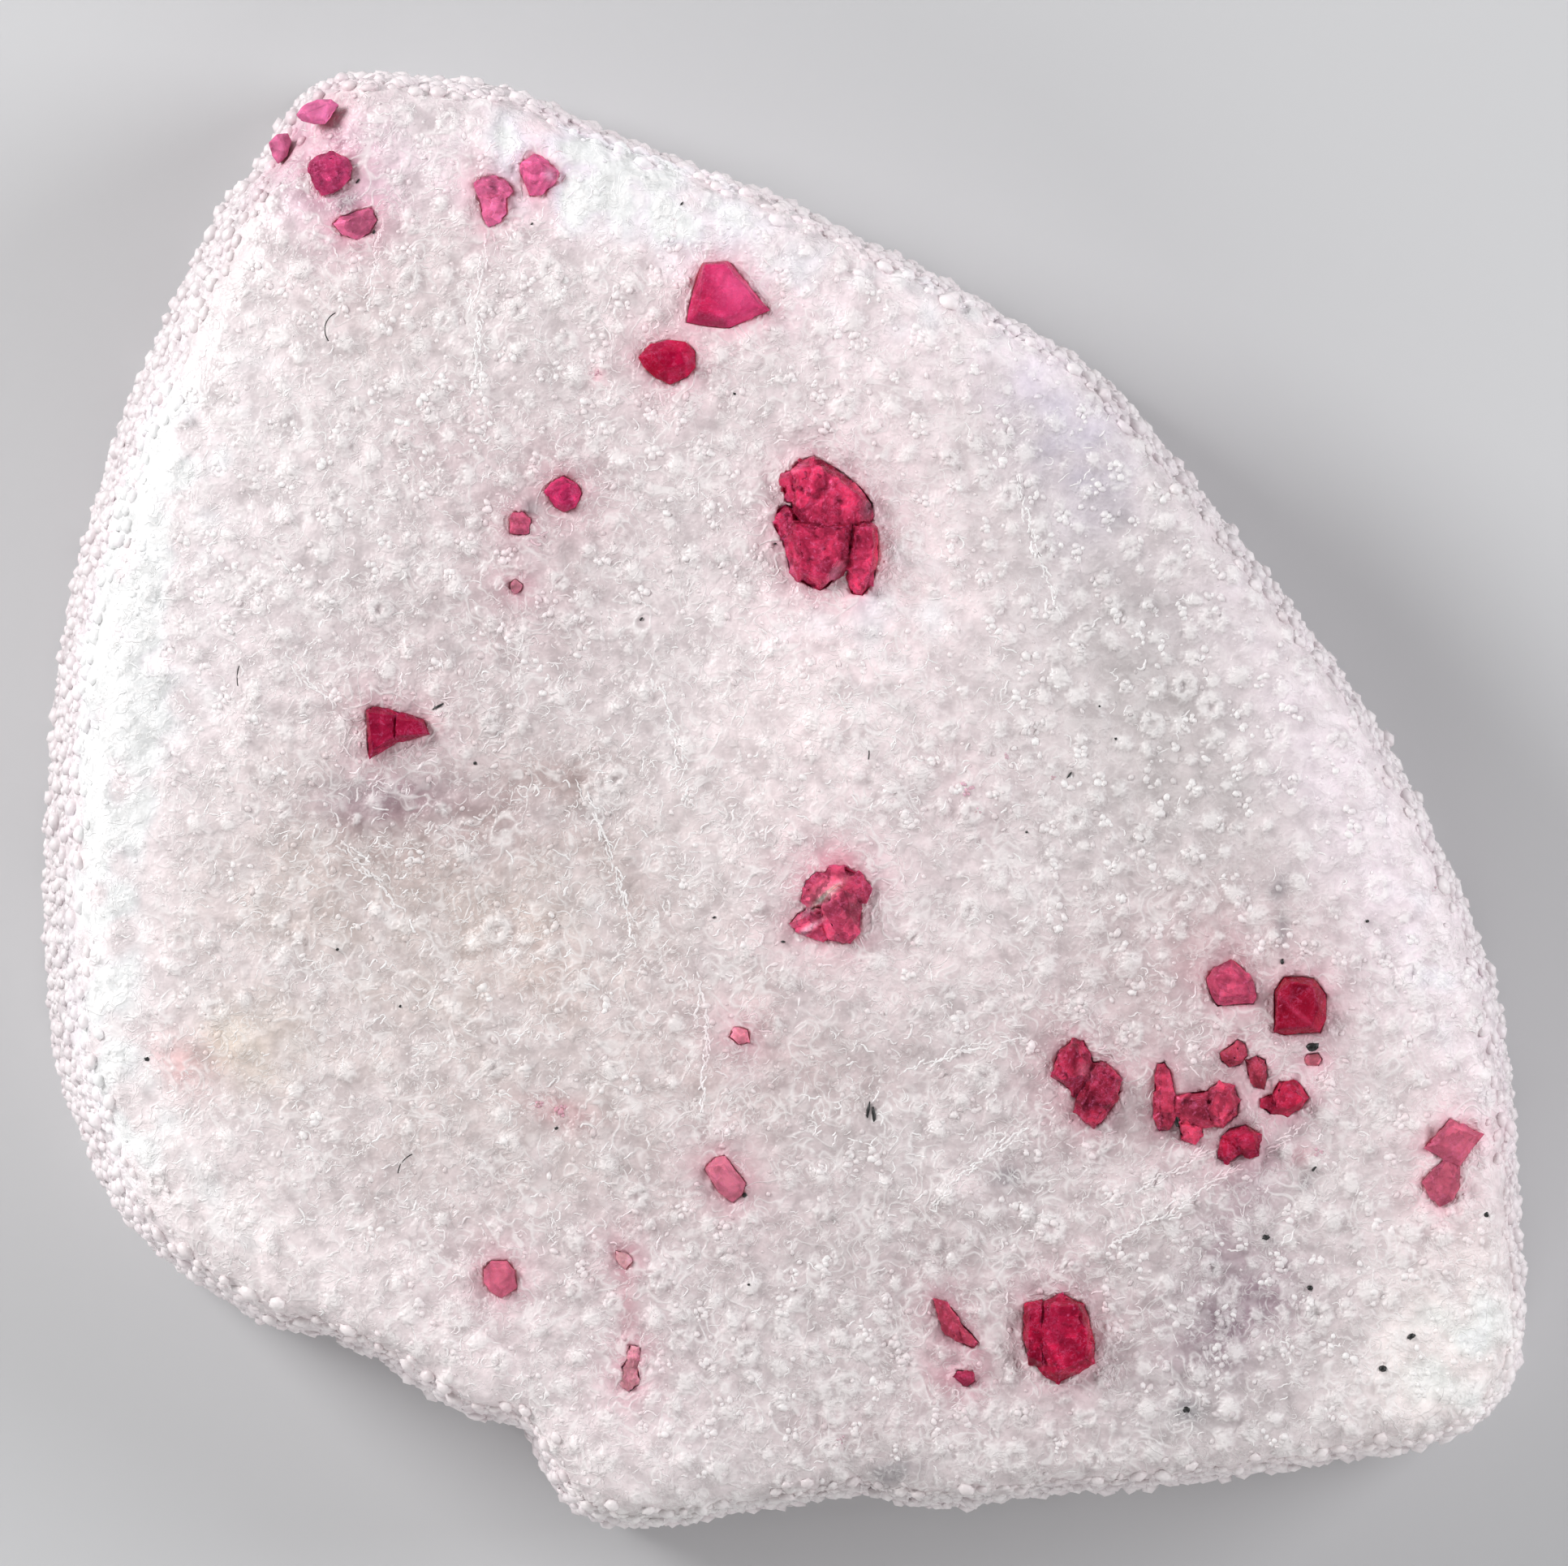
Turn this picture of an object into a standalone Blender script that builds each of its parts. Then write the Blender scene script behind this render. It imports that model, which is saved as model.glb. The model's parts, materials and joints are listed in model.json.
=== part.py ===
"""Spinel crystals standing in the face of a slab of sugary white marble.

The slab lies on its flat back. The origin is on the back, under the middle of the slab,
+Z points out of the crystal-bearing face and +Y towards the slab's narrow end.
"""

import math

import bmesh
import bpy
from mathutils import Matrix, Vector, noise
from mathutils.bvhtree import BVHTree

MM = 0.001

# Slab: driving dimensions, in millimetres
SLAB_THICKNESS = 15.0
DOME_FALL = 0.9
DOME_RADIUS = 36.0
RIM_ROUND = 1.3
LEFT_RIM_ROUND = 3.0
FLARE = 0.5
RIM_LEAN = 0.8
LEFT_RIM_LEAN = 1.8
RIM_REACH = 4.0
BACK_EDGE_ROUND = 1.2
BACK_TRIM = 1.0
SIDE_LUMP_INSET = 0.3
LUMP_HEIGHT = 0.22
LUMP_SIZE = 3.6
KNOB_HEIGHT = 0.13
KNOB_SIZE = 1.7
MODEL_CELL = 0.9
KEPT_SHARE = 0.165

# Crystals: driving dimensions, in millimetres
WAIST_RISE = 0.1
CROWN_SHARE = 0.5
CROWN_SPREAD = 1.1
LEVEL_RANK = 0.7
ROOT_SHARE = 0.62
ROOT_BASE_DEPTH = 0.7
ROOT_DEPTH_PER_SIZE = 0.35
POCKET_GAP = 0.3

WELD_DISTANCE = 0.00001
FLAT_ANGLE = math.radians(2.0)

# Outline of the slab seen from above, clockwise from the narrow end, in millimetres
OUTLINE = [
    (-21, 35.8), (-17.8, 35.5), (-14.1, 35.1), (-11, 33.8), (-7, 32), (-3.4, 30.8),
    (0.1, 29.3), (3.4, 27.7), (8.2, 25.2), (12.2, 22.9), (15.1, 21.2), (18, 18), (21, 14.3),
    (23.9, 10.7), (27, 6.6), (29.5, 2.9), (31.6, -1), (33.5, -5.1), (34.9, -9.1),
    (35.6, -12.6), (36.1, -16.6), (36.2, -20.6), (36.5, -24.6), (36.3, -28.2), (34.9, -30.4),
    (32.2, -31.7), (27.8, -32.4), (23, -33.2), (17.4, -33.9), (13, -34.1), (9, -34.8),
    (6.2, -34.7), (4.6, -34.1), (1.4, -34.6), (-2.6, -35.1), (-5.4, -35.7), (-8.2, -35.8),
    (-10.4, -34.9), (-11.6, -33.2), (-12.1, -31.8), (-11.8, -30.5), (-13, -30.3),
    (-15.7, -30.3), (-17.4, -29.1), (-19.4, -27.8), (-21.4, -26.8), (-23.4, -26), (-25.2, -26),
    (-27, -24.8), (-29.3, -23.5), (-31.8, -21.6), (-33.2, -19.9), (-34.5, -17), (-35.8, -14),
    (-36.3, -10.6), (-36.6, -5.8), (-36.4, -0.6), (-36.2, 3.8), (-35.6, 8.2), (-34.8, 12.2),
    (-33.3, 17), (-32.2, 20.2), (-30.5, 23.7), (-29.4, 26.2), (-27.4, 29.8), (-25.6, 31.8),
    (-24.5, 33.8), (-23.6, 35.2),
]

# Swells and hollows of the face: centre x, y, half length, half width, turn in degrees, height
FACE_FORMS = [
    (2.6, 4.2, 8.0, 5.0, 80.0, 0.8),
    (-18.6, -6.6, 12.0, 8.0, 0.0, -0.9),
    (-19.2, 0.0, 4.0, 1.5, 0.0, -0.6),
    (-12.2, 1.4, 2.6, 1.0, 15.0, -0.5),
    (-8.6, -5.8, 5.0, 1.2, -70.0, -0.4),
    (17.4, 9.4, 11.0, 5.0, -55.0, -0.8),
    (23.0, -24.6, 3.2, 2.4, 60.0, -0.9),
    (25.4, -18.6, 2.4, 0.9, 60.0, -0.4),
    (8.6, -19.8, 1.5, 1.5, 0.0, 0.6),
    (16.6, -20.6, 4.0, 0.9, 35.0, 0.4),
    (5.4, -13.4, 4.0, 2.0, 0.0, -0.4),
    (21.4, -12.6, 4.5, 4.0, 0.0, 0.4),
    (-6.6, -32.4, 2.6, 2.2, 0.0, 0.4),
    (2.6, -31.0, 2.2, 1.4, 0.0, -0.4),
    (-7.6, -25.4, 3.2, 0.8, 90.0, -0.3),
]

# Crystals: for each lobe its outline at the face, then the corners of its crown with their
# height above the face, in millimetres
CRYSTALS = {
    "spinel_crystal_01": [
        ([(-24.1, 33.8), (-23.7, 34.3), (-23, 34.6), (-22.3, 34.6), (-21.9, 34.3), (-22.3, 33.7),
          (-22.6, 33.3), (-23.2, 33.3), (-23.8, 33.5)],
         [(-23.5, 33.9, 0.45), (-22.5, 34.3, 0.6), (-22.7, 33.6, 0.45), (-23.2, 33.5, 0.35)]),
    ],
    "spinel_crystal_02": [
        ([(-25.5, 32.5), (-25.1, 32.9), (-24.5, 33), (-24.3, 32.6), (-24.5, 31.8), (-25, 31.4),
          (-25.3, 31.8)],
         [(-24.9, 32.6, 0.5), (-24.7, 32.1, 0.4)]),
    ],
    "spinel_crystal_03": [
        ([(-23.4, 31.5), (-22.9, 31.9), (-22.2, 32), (-21.5, 31.7), (-21.2, 31.2), (-21.3, 30.6),
          (-22, 30), (-22.8, 29.7), (-23.2, 30.4), (-23.5, 31)],
         [(-22.8, 31.5, 0.9), (-22, 31.6, 1), (-21.6, 31, 0.8), (-22.4, 30.5, 0.8),
          (-22.9, 30.9, 0.7)]),
    ],
    "spinel_crystal_04": [
        ([(-22.3, 28.4), (-21.8, 28.8), (-21, 29.1), (-20.3, 29.2), (-20, 28.6), (-20.4, 27.9),
          (-21, 27.6), (-21.8, 27.8)],
         [(-21.6, 28.4, 0.5), (-20.8, 28.8, 0.8), (-20.4, 28.4, 0.7), (-21, 28, 0.5)]),
    ],
    "spinel_crystal_05": [
        ([(-15.3, 30.4), (-14.9, 30.7), (-14.2, 30.8), (-13.7, 30.6), (-13.2, 30), (-13.5, 29.7),
          (-14.6, 29.2), (-15, 29.6)],
         [(-14.7, 30.3, 0.7), (-14, 30.4, 0.8), (-13.8, 30, 0.7)]),
        ([(-15.1, 29.8), (-13.6, 29.8), (-13.6, 28.9), (-14, 28.4), (-14.5, 28.2), (-14.8, 28.6)],
         [(-14.5, 29.6, 0.8), (-13.9, 29.6, 0.7), (-14.3, 28.8, 0.6)]),
    ],
    "spinel_crystal_06": [
        ([(-13, 31.4), (-12.6, 31.6), (-12.3, 31.9), (-11.9, 31.8), (-11.4, 31.3), (-11, 30.9),
          (-11.2, 30.4), (-11.6, 30.2), (-11.9, 29.8), (-12.5, 29.7), (-12.8, 30.4), (-13, 30.9)],
         [(-12.5, 31.3, 0.8), (-12, 31.4, 1), (-11.6, 30.8, 0.9), (-12, 30.3, 0.8),
          (-12.4, 30.4, 0.7)]),
    ],
    "spinel_crystal_07": [
        ([(-4, 26.5), (-2.7, 26.6), (-0.6, 24.1), (-1.6, 23.8), (-2.7, 23.2), (-3.7, 23.3),
          (-4.8, 23.5), (-4.7, 24.2), (-4.4, 25.4)],
         [(-3.8, 26.2, 1.3), (-2.9, 26.2, 1.4), (-1.3, 24.3, 0.9), (-2.9, 23.8, 1.1),
          (-4.1, 24.1, 1.2)]),
    ],
    "spinel_crystal_08": [
        ([(-7.2, 21.8), (-6.6, 22.5), (-5.7, 22.7), (-4.8, 22.6), (-4.3, 22.1), (-4.3, 21.3),
          (-4.7, 20.8), (-5.6, 20.4), (-6.4, 20.8), (-6.9, 21.3)],
         [(-6.3, 21.9, 1.1), (-5.1, 22, 1.3), (-4.9, 21.5, 1.2), (-5.7, 21.2, 1.1)]),
    ],
    "spinel_crystal_09": [
        ([(-11.8, 15.2), (-11.3, 15.8), (-10.8, 16), (-10.1, 15.6), (-9.9, 15.1), (-10.2, 14.4),
          (-10.8, 14.1), (-11.3, 14.4)],
         [(-11.2, 15.3, 0.9), (-10.6, 15.5, 1), (-10.4, 14.9, 0.95), (-10.9, 14.7, 0.9)]),
    ],
    "spinel_crystal_10": [
        ([(-13.5, 13.8), (-13.3, 14.2), (-12.8, 14.2), (-12.4, 13.8), (-12.5, 13.1), (-13, 13),
          (-13.5, 13.1)],
         [(-13.2, 13.8, 0.6), (-12.8, 13.9, 0.65), (-12.8, 13.4, 0.6), (-13.2, 13.4, 0.55)]),
    ],
    "spinel_crystal_11": [
        ([(-13.5, 10.7), (-13.2, 10.9), (-12.8, 10.6), (-12.9, 10.3), (-13.2, 10.1), (-13.5, 10.4)],
         [(-13.3, 10.6, 0.3), (-13.1, 10.4, 0.3)]),
    ],
    "spinel_crystal_12": [
        ([(-20.6, 4.4), (-20.3, 4.6), (-19.4, 4.5), (-18.8, 4.2), (-19, 2.8), (-19.8, 2.4),
          (-20.4, 2), (-20.5, 2.2)],
         [(-20.4, 4.2, 1), (-19.3, 4.1, 1.1), (-19.3, 3.1, 1), (-20.2, 2.5, 0.9)]),
        ([(-19.2, 4.4), (-18.4, 4.1), (-17.7, 4), (-17.4, 3.2), (-18.4, 2.9), (-19.2, 2.8)],
         [(-19, 3.9, 0.95), (-17.9, 3.8, 0.8), (-17.8, 3.3, 0.75), (-19, 3.2, 0.9)]),
    ],
    "spinel_crystal_13": [
        ([(1.9, -4.8), (2.8, -4.1), (3.4, -4.2), (3.8, -4.8), (3.9, -5.6), (3.8, -6.6),
          (3.3, -7.1), (2.2, -7), (1.7, -6.2)],
         [(2.7, -4.4, 1.8), (3.1, -4.6, 1.9), (3.3, -5.8, 1.6), (2.6, -6.5, 1.3), (2, -5.3, 1.5)]),
        ([(0.3, -6.1), (0.7, -5.6), (1.4, -5.2), (2, -5.3), (2.4, -6.6), (2.2, -7), (1.4, -6.8),
          (0.6, -6.5)],
         [(1, -5.8, 0.9), (1.8, -5.5, 1.1), (1.9, -6.4, 0.9)]),
        ([(0.8, -5), (1.1, -4), (2, -3.3), (3, -3.2), (3.8, -3.6), (4.4, -4.4), (4.1, -5.1),
          (3, -5.3), (1.4, -5.3)],
         [(1.5, -4.2, 0.5), (2.6, -3.7, 0.6), (3.8, -4.3, 0.5), (2.6, -4.9, 0.7)]),
    ],
    "spinel_crystal_14": [
        ([(-2.7, -11.7), (-2.4, -11.2), (-1.7, -11.3), (-1.6, -12), (-2.2, -12.1)],
         [(-2.3, -11.6, 0.4), (-1.9, -11.6, 0.45)]),
    ],
    "spinel_crystal_15": [
        ([(-3.9, -18.2), (-3.4, -17.6), (-2.9, -17.5), (-2.4, -18.2), (-1.8, -18.9), (-2, -19.5),
          (-2.5, -19.9), (-3.2, -19.4)],
         [(-3.4, -18.1, 0.8), (-2.9, -18, 0.9), (-2.3, -18.8, 0.8), (-2.6, -19.3, 0.7),
          (-3.2, -18.8, 0.75)]),
    ],
    "spinel_crystal_16": [
        ([(-14.8, -23.1), (-14.4, -22.7), (-13.6, -22.7), (-13.2, -23.2), (-13.1, -24.1),
          (-13.9, -24.6), (-14.5, -24.3), (-14.8, -23.8)],
         [(-14.4, -23.1, 0.9), (-13.5, -23.2, 0.95), (-13.9, -24.1, 0.8), (-14.4, -23.7, 0.85)]),
    ],
    "spinel_crystal_17": [
        ([(-8.3, -22.2), (-7.6, -22.4), (-7.4, -22.8), (-7.8, -23.2), (-8.2, -22.8)],
         [(-8, -22.6, 0.35), (-7.7, -22.8, 0.35)]),
    ],
    "spinel_crystal_18": [
        ([(-7.6, -26.8), (-7, -27), (-7.1, -28.2), (-7.8, -28.2), (-7.7, -27.5)],
         [(-7.4, -27.2, 0.4), (-7.4, -27.9, 0.5)]),
        ([(-8, -28), (-7.7, -27.6), (-7.1, -28), (-7.1, -28.9), (-7.6, -29.2), (-8, -28.9)],
         [(-7.7, -28.2, 0.6), (-7.3, -28.4, 0.55), (-7.6, -28.8, 0.5)]),
    ],
    "spinel_crystal_19": [
        ([(7.4, -24.6), (8, -24.7), (8.6, -25.4), (8.9, -26.2), (8.8, -26.8), (8, -26.4),
          (7.6, -25.5)],
         [(7.8, -25.1, 0.7), (8.3, -25.6, 0.8), (8.4, -26.2, 0.7)]),
        ([(8.4, -25.5), (9.2, -26.2), (9.7, -26.8), (9.4, -27.1), (8.8, -26.8), (8.4, -26.2)],
         [(8.8, -26.2, 0.7), (9.3, -26.8, 0.5)]),
    ],
    "spinel_crystal_20": [
        ([(8.2, -28.5), (8.6, -28.1), (9.4, -28.2), (9.5, -28.7), (9.1, -29), (8.5, -28.8)],
         [(8.8, -28.4, 0.6), (9.1, -28.5, 0.6)]),
    ],
    "spinel_crystal_21": [
        ([(12.6, -24.8), (13.8, -24.3), (14.8, -24.8), (15.1, -25.5), (15.4, -26.8),
          (15.4, -27.8), (14.6, -28.3), (13.6, -28.8), (12.8, -28.4), (12.4, -27.8)],
         [(13.1, -25.2, 1.9), (14.4, -25.1, 1.9), (14.9, -26.2, 1.8), (14.8, -27.5, 1.7),
          (13.6, -28, 1.6), (12.9, -26.6, 2)]),
        ([(11.9, -24.8), (12.8, -24.6), (13.1, -26.6), (12.8, -28), (12.1, -27.9), (11.8, -26.6)],
         [(12.2, -25.2, 1.4), (12.7, -25.1, 1.5), (12.7, -27.6, 1.3), (12.1, -27.3, 1.2)]),
    ],
    "spinel_crystal_22": [
        ([(32.9, -15.7), (34.6, -16.5), (34, -17.2), (33.4, -18.1), (32.6, -17.8), (31.6, -17.2),
          (32.2, -16.5)],
         [(32.9, -16.2, 0.9), (34, -16.6, 0.8), (33.4, -17.4, 0.8), (32.4, -17, 0.8)]),
        ([(32.1, -18.2), (32.8, -17.6), (33.4, -18), (33.4, -19.2), (33, -19.8), (32.4, -20.1),
          (31.9, -19.6), (31.5, -18.9)],
         [(32.3, -18.6, 0.8), (33, -18.7, 0.85), (32.8, -19.4, 0.7), (32.2, -19.3, 0.7)]),
    ],
    "spinel_crystal_23": [
        ([(13.2, -13.6), (13.4, -12.8), (13.7, -12.3), (14.3, -11.8), (14.8, -11.9),
          (15.2, -12.6), (15.4, -13.3), (15, -14.2), (14.4, -14.6)],
         [(13.6, -13, 1.3), (14.3, -12.3, 1.4), (14.8, -12.8, 1.2), (14.8, -13.6, 1.1),
          (14, -13.7, 1.2)]),
        ([(15.2, -12.9), (15.9, -12.9), (16.7, -13.7), (16.6, -14.4), (16.2, -15.2), (15.7, -16),
          (15.3, -16.2), (14.8, -15.9), (14.3, -15.4), (14.7, -14.8), (14.8, -13.6)],
         [(15.6, -13.3, 1.4), (16.3, -13.9, 1.3), (16, -14.8, 1.4), (15.4, -15.7, 1.1),
          (14.8, -15.2, 1), (15.2, -14.2, 1.4)]),
    ],
    "spinel_crystal_24": [
        ([(18.4, -13), (18.8, -12.9), (19.1, -13.3), (19.3, -14.4), (19.4, -15.6), (19.1, -16.3),
          (18.5, -16.4), (18.2, -15.6), (18.3, -14.2)],
         [(18.6, -13.4, 0.7), (18.9, -13.6, 0.7), (19, -15.4, 0.8), (18.6, -16, 0.7)]),
        ([(19.3, -14.6), (19.9, -14.4), (21, -14.3), (21.4, -16.1), (20.2, -16.3), (19.4, -16),
          (19.1, -15.2)],
         [(19.9, -14.8, 1), (20.8, -14.8, 1.1), (20.8, -15.7, 1), (19.9, -15.7, 0.9)]),
        ([(21, -14.2), (21.5, -13.9), (22.2, -14.1), (22.5, -14.8), (22.4, -15.6), (21.7, -16.2),
          (21, -16.1), (20.7, -15.2)],
         [(21.3, -14.4, 1.1), (22, -14.5, 1.1), (22.1, -15.2, 1), (21.6, -15.8, 0.9),
          (21, -15.2, 1.1)]),
        ([(19.5, -16), (20, -15.6), (20.7, -16), (20.7, -16.6), (20.3, -17), (19.6, -16.8)],
         [(19.8, -16.1, 0.8), (20.4, -16.2, 0.8), (20.1, -16.6, 0.7)]),
    ],
    "spinel_crystal_25": [
        ([(21.6, -16.6), (22, -16.2), (22.8, -16), (23.6, -16.5), (23.5, -17.6), (23, -17.7),
          (22.2, -17.3)],
         [(22.2, -16.5, 1.3), (23, -16.4, 1.3), (23.2, -16.8, 1.2), (22.7, -17.2, 0.9)]),
        ([(21.4, -17.4), (21.6, -16.7), (22.3, -16.6), (22.7, -17.4), (22.3, -17.6), (21.9, -18),
          (21.4, -17.7)],
         [(21.9, -17, 0.9), (22.2, -17.2, 0.9), (21.9, -17.6, 0.7)]),
    ],
    "spinel_crystal_26": [
        ([(21.5, -12.5), (21.9, -12.2), (22.4, -11.8), (22.8, -12), (22.9, -12.6), (22.5, -13.1),
          (22, -13.2), (21.6, -12.9)],
         [(22, -12.5, 0.9), (22.4, -12.2, 0.9), (22.4, -12.8, 0.8), (22, -12.8, 0.7)]),
        ([(22.6, -12.7), (23.3, -12.6), (23.8, -12.8), (23.9, -13.6), (23.7, -14.3),
          (23.2, -14.2), (22.9, -13.6)],
         [(23.1, -13.1, 0.8), (23.6, -13.1, 0.8), (23.5, -13.9, 0.7)]),
    ],
    "spinel_crystal_27": [
        ([(20.8, -8.8), (21.2, -8.3), (22.1, -7.8), (22.6, -8.2), (23.1, -8.8), (23.4, -9.7),
          (23.2, -10.1), (22.2, -10.1), (21.4, -10.2), (21, -9.6)],
         [(21.4, -8.8, 1), (22.1, -8.3, 1.1), (22.8, -9, 1), (22.8, -9.6, 0.9), (21.6, -9.7, 0.9)]),
    ],
    "spinel_crystal_28": [
        ([(24.1, -11.7), (24.2, -9.4), (24.7, -8.7), (25.6, -8.7), (26.2, -8.8), (26.8, -9.6),
          (26.8, -10.8), (26.5, -11.5), (25.4, -11.6)],
         [(24.5, -9.5, 1.6), (25.1, -9.1, 1.7), (26, -9.2, 1.6), (26.3, -10.2, 1.5),
          (26, -11.1, 1.4), (24.4, -11.2, 1.2), (24.9, -10.1, 1.9)]),
    ],
    "spinel_crystal_29": [
        ([(25.6, -12.8), (25.8, -12.5), (26.4, -12.5), (26.6, -12.8), (26.4, -13.1), (25.8, -13.1)],
         [(25.9, -12.7, 0.4), (26.3, -12.8, 0.4)]),
    ],
    "spinel_crystal_30": [
        ([(24.1, -14.4), (24.4, -13.8), (24.9, -13.7), (25.5, -14), (26, -14.7), (25.5, -15.3),
          (24.8, -15.7), (24, -15.5)],
         [(24.6, -14.2, 1.2), (25.2, -14.3, 1.2), (25.6, -14.8, 1), (24.8, -15.2, 1.1),
          (24.4, -14.9, 1.1)]),
        ([(23.3, -14.7), (24.1, -14.5), (24.5, -15.5), (24, -15.5), (23.5, -15.1)],
         [(23.8, -14.8, 0.7), (24.2, -15.1, 0.8)]),
    ],
    "spinel_crystal_31": [
        ([(0.4, 16.3), (0.8, 16.7), (1.5, 17), (2, 16.5), (3, 16.1), (3.8, 15.4), (4.4, 14.6),
          (4.5, 13.8), (3.6, 13), (1.4, 12.6), (0.4, 13.8)],
         [(0.9, 16.2, 1.8), (1.6, 16.4, 2), (2.8, 15.6, 2.3), (3.7, 14.8, 2), (3.6, 13.8, 2.1),
          (1.8, 13.4, 2.4), (0.8, 14.4, 2)]),
        ([(0.3, 13.8), (3.8, 13.8), (3.4, 11.8), (3, 11.2), (2.3, 10.5), (1.8, 10.2), (1, 10.6),
          (0.3, 11.2), (0.4, 11.8), (0, 12.7)],
         [(0.8, 13.3, 2.2), (3, 13.3, 2.3), (2.7, 11.8, 1.9), (2, 10.9, 1.5), (1, 11.3, 1.6)]),
        ([(3.2, 13.6), (4.4, 13.7), (4.7, 13.4), (4.7, 11.8), (4.4, 10.6), (3.9, 10),
          (3.3, 10.1), (3.1, 10.9), (3.1, 12.2)],
         [(3.6, 13.3, 2), (4.3, 13.2, 1.9), (4.4, 11.8, 1.7), (3.9, 10.5, 1.3), (3.5, 11.4, 1.6)]),
        ([(-0.1, 15.7), (0.1, 16.2), (0.8, 16.4), (1, 14.4), (0, 14.6), (-0.1, 15.2)],
         [(0.3, 15.8, 1), (0.7, 15.8, 1.2), (0.6, 14.8, 1.1)]),
        ([(-0.5, 13.6), (-0.4, 14.3), (0.1, 14.6), (0.8, 14.2), (0.8, 12.2), (0.3, 11.8),
          (-0.1, 12.6)],
         [(-0, 14, 1.1), (0.4, 14, 1.3), (0.4, 12.7, 1.1)]),
    ],
}


def clear_scene():
    for obj in list(bpy.data.objects):
        bpy.data.objects.remove(obj)


def new_collection(name):
    collection = bpy.data.collections.new(name)
    bpy.context.scene.collection.children.link(collection)
    return collection


def principled(name, colour, roughness, transmission=0.0, ior=1.5):
    material = bpy.data.materials.new(name)
    material.use_nodes = True
    shader = material.node_tree.nodes["Principled BSDF"]
    shader.inputs["Base Color"].default_value = (*colour, 1.0)
    shader.inputs["Roughness"].default_value = roughness
    shader.inputs["Metallic"].default_value = 0.0
    shader.inputs["Transmission Weight"].default_value = transmission
    shader.inputs["IOR"].default_value = ior
    material.diffuse_color = (*colour, 1.0)
    return material


def add_object(name, mesh, collection, material=None):
    obj = bpy.data.objects.new(name, mesh)
    collection.objects.link(obj)
    if material:
        obj.data.materials.clear()
        obj.data.materials.append(material)
    return obj


def evaluated_mesh(obj):
    """The object's mesh with its modifiers in it, in world space."""
    graph = bpy.context.evaluated_depsgraph_get()
    mesh = bpy.data.meshes.new_from_object(obj.evaluated_get(graph))
    mesh.transform(obj.matrix_world)
    return mesh


def replace_by_mesh(obj):
    """Swaps an object for a plain mesh object of its evaluated shape."""
    mesh = evaluated_mesh(obj)
    name = obj.name
    collection = obj.users_collection[0]
    bpy.data.objects.remove(obj)
    return add_object(name, mesh, collection)


def smoothstep(low, high, value):
    t = min(max((value - low) / (high - low), 0.0), 1.0)
    return t * t * (3.0 - 2.0 * t)


# Slab

def slab_blank(collection):
    """The outline as a smooth closed curve, given its thickness and an even mesh."""
    curve = bpy.data.curves.new("marble_outline", "CURVE")
    curve.dimensions = "2D"
    curve.fill_mode = "BOTH"
    curve.resolution_u = 4
    curve.extrude = SLAB_THICKNESS / 2 * MM
    spline = curve.splines.new("BEZIER")
    spline.bezier_points.add(len(OUTLINE) - 1)
    for point, (x, y) in zip(spline.bezier_points, OUTLINE):
        point.co = (x * MM, y * MM, 0.0)
        point.handle_left_type = "AUTO"
        point.handle_right_type = "AUTO"
    spline.use_cyclic_u = True
    blank = bpy.data.objects.new("marble_blank", curve)
    collection.objects.link(blank)
    blank.location.z = SLAB_THICKNESS / 2 * MM
    bpy.context.view_layer.update()
    blank = replace_by_mesh(blank)
    mesh = bmesh.new()
    mesh.from_mesh(blank.data)
    bmesh.ops.remove_doubles(mesh, verts=mesh.verts, dist=WELD_DISTANCE)
    mesh.to_mesh(blank.data)
    mesh.free()
    remesh = blank.modifiers.new("even_cells", "REMESH")
    remesh.mode = "VOXEL"
    remesh.voxel_size = MODEL_CELL * MM
    remesh.adaptivity = 0.0
    return replace_by_mesh(blank)


class Rim:
    """The slab's edge: how far inside it a point lies, and which way is out."""

    def __init__(self):
        points = [Vector((x, y)) for x, y in OUTLINE]
        self.edges = list(zip(points, points[1:] + points[:1]))

    def nearest(self, x, y):
        """Distance in millimetres to the outline, and the direction out of the slab."""
        place = Vector((x, y))
        best = None
        for a, b in self.edges:
            along = b - a
            share = min(max((place - a).dot(along) / along.length_squared, 0.0), 1.0)
            distance = (place - (a + along * share)).length
            if best is None or distance < best[0]:
                best = (distance, Vector((-along.y, along.x)).normalized())
        return best


def left_share(x, y):
    """1 along the slab's left side, where the face turns over early, and 0 elsewhere."""
    return smoothstep(-20.0, -32.0, x) * smoothstep(-26.0, -16.0, y)


def face_height(x, y, inset):
    """Height of the crystal-bearing face, in millimetres."""
    height = SLAB_THICKNESS - DOME_FALL * (x * x + y * y) / DOME_RADIUS ** 2
    for cx, cy, along, across, turn, rise in FACE_FORMS:
        angle = math.radians(turn)
        u = (x - cx) * math.cos(angle) + (y - cy) * math.sin(angle)
        v = (y - cy) * math.cos(angle) - (x - cx) * math.sin(angle)
        height += rise * math.exp(-(u / along) ** 2 - (v / across) ** 2)
    height += LUMP_HEIGHT * noise.noise(Vector((x, y, 0.0)) / LUMP_SIZE)
    height += KNOB_HEIGHT * noise.noise(Vector((x, y, 9.0)) / KNOB_SIZE)
    share = left_share(x, y)
    round_off = RIM_ROUND + (LEFT_RIM_ROUND - RIM_ROUND) * share
    if inset < round_off:
        height -= round_off - math.sqrt(round_off ** 2 - (round_off - inset) ** 2)
    return height


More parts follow.
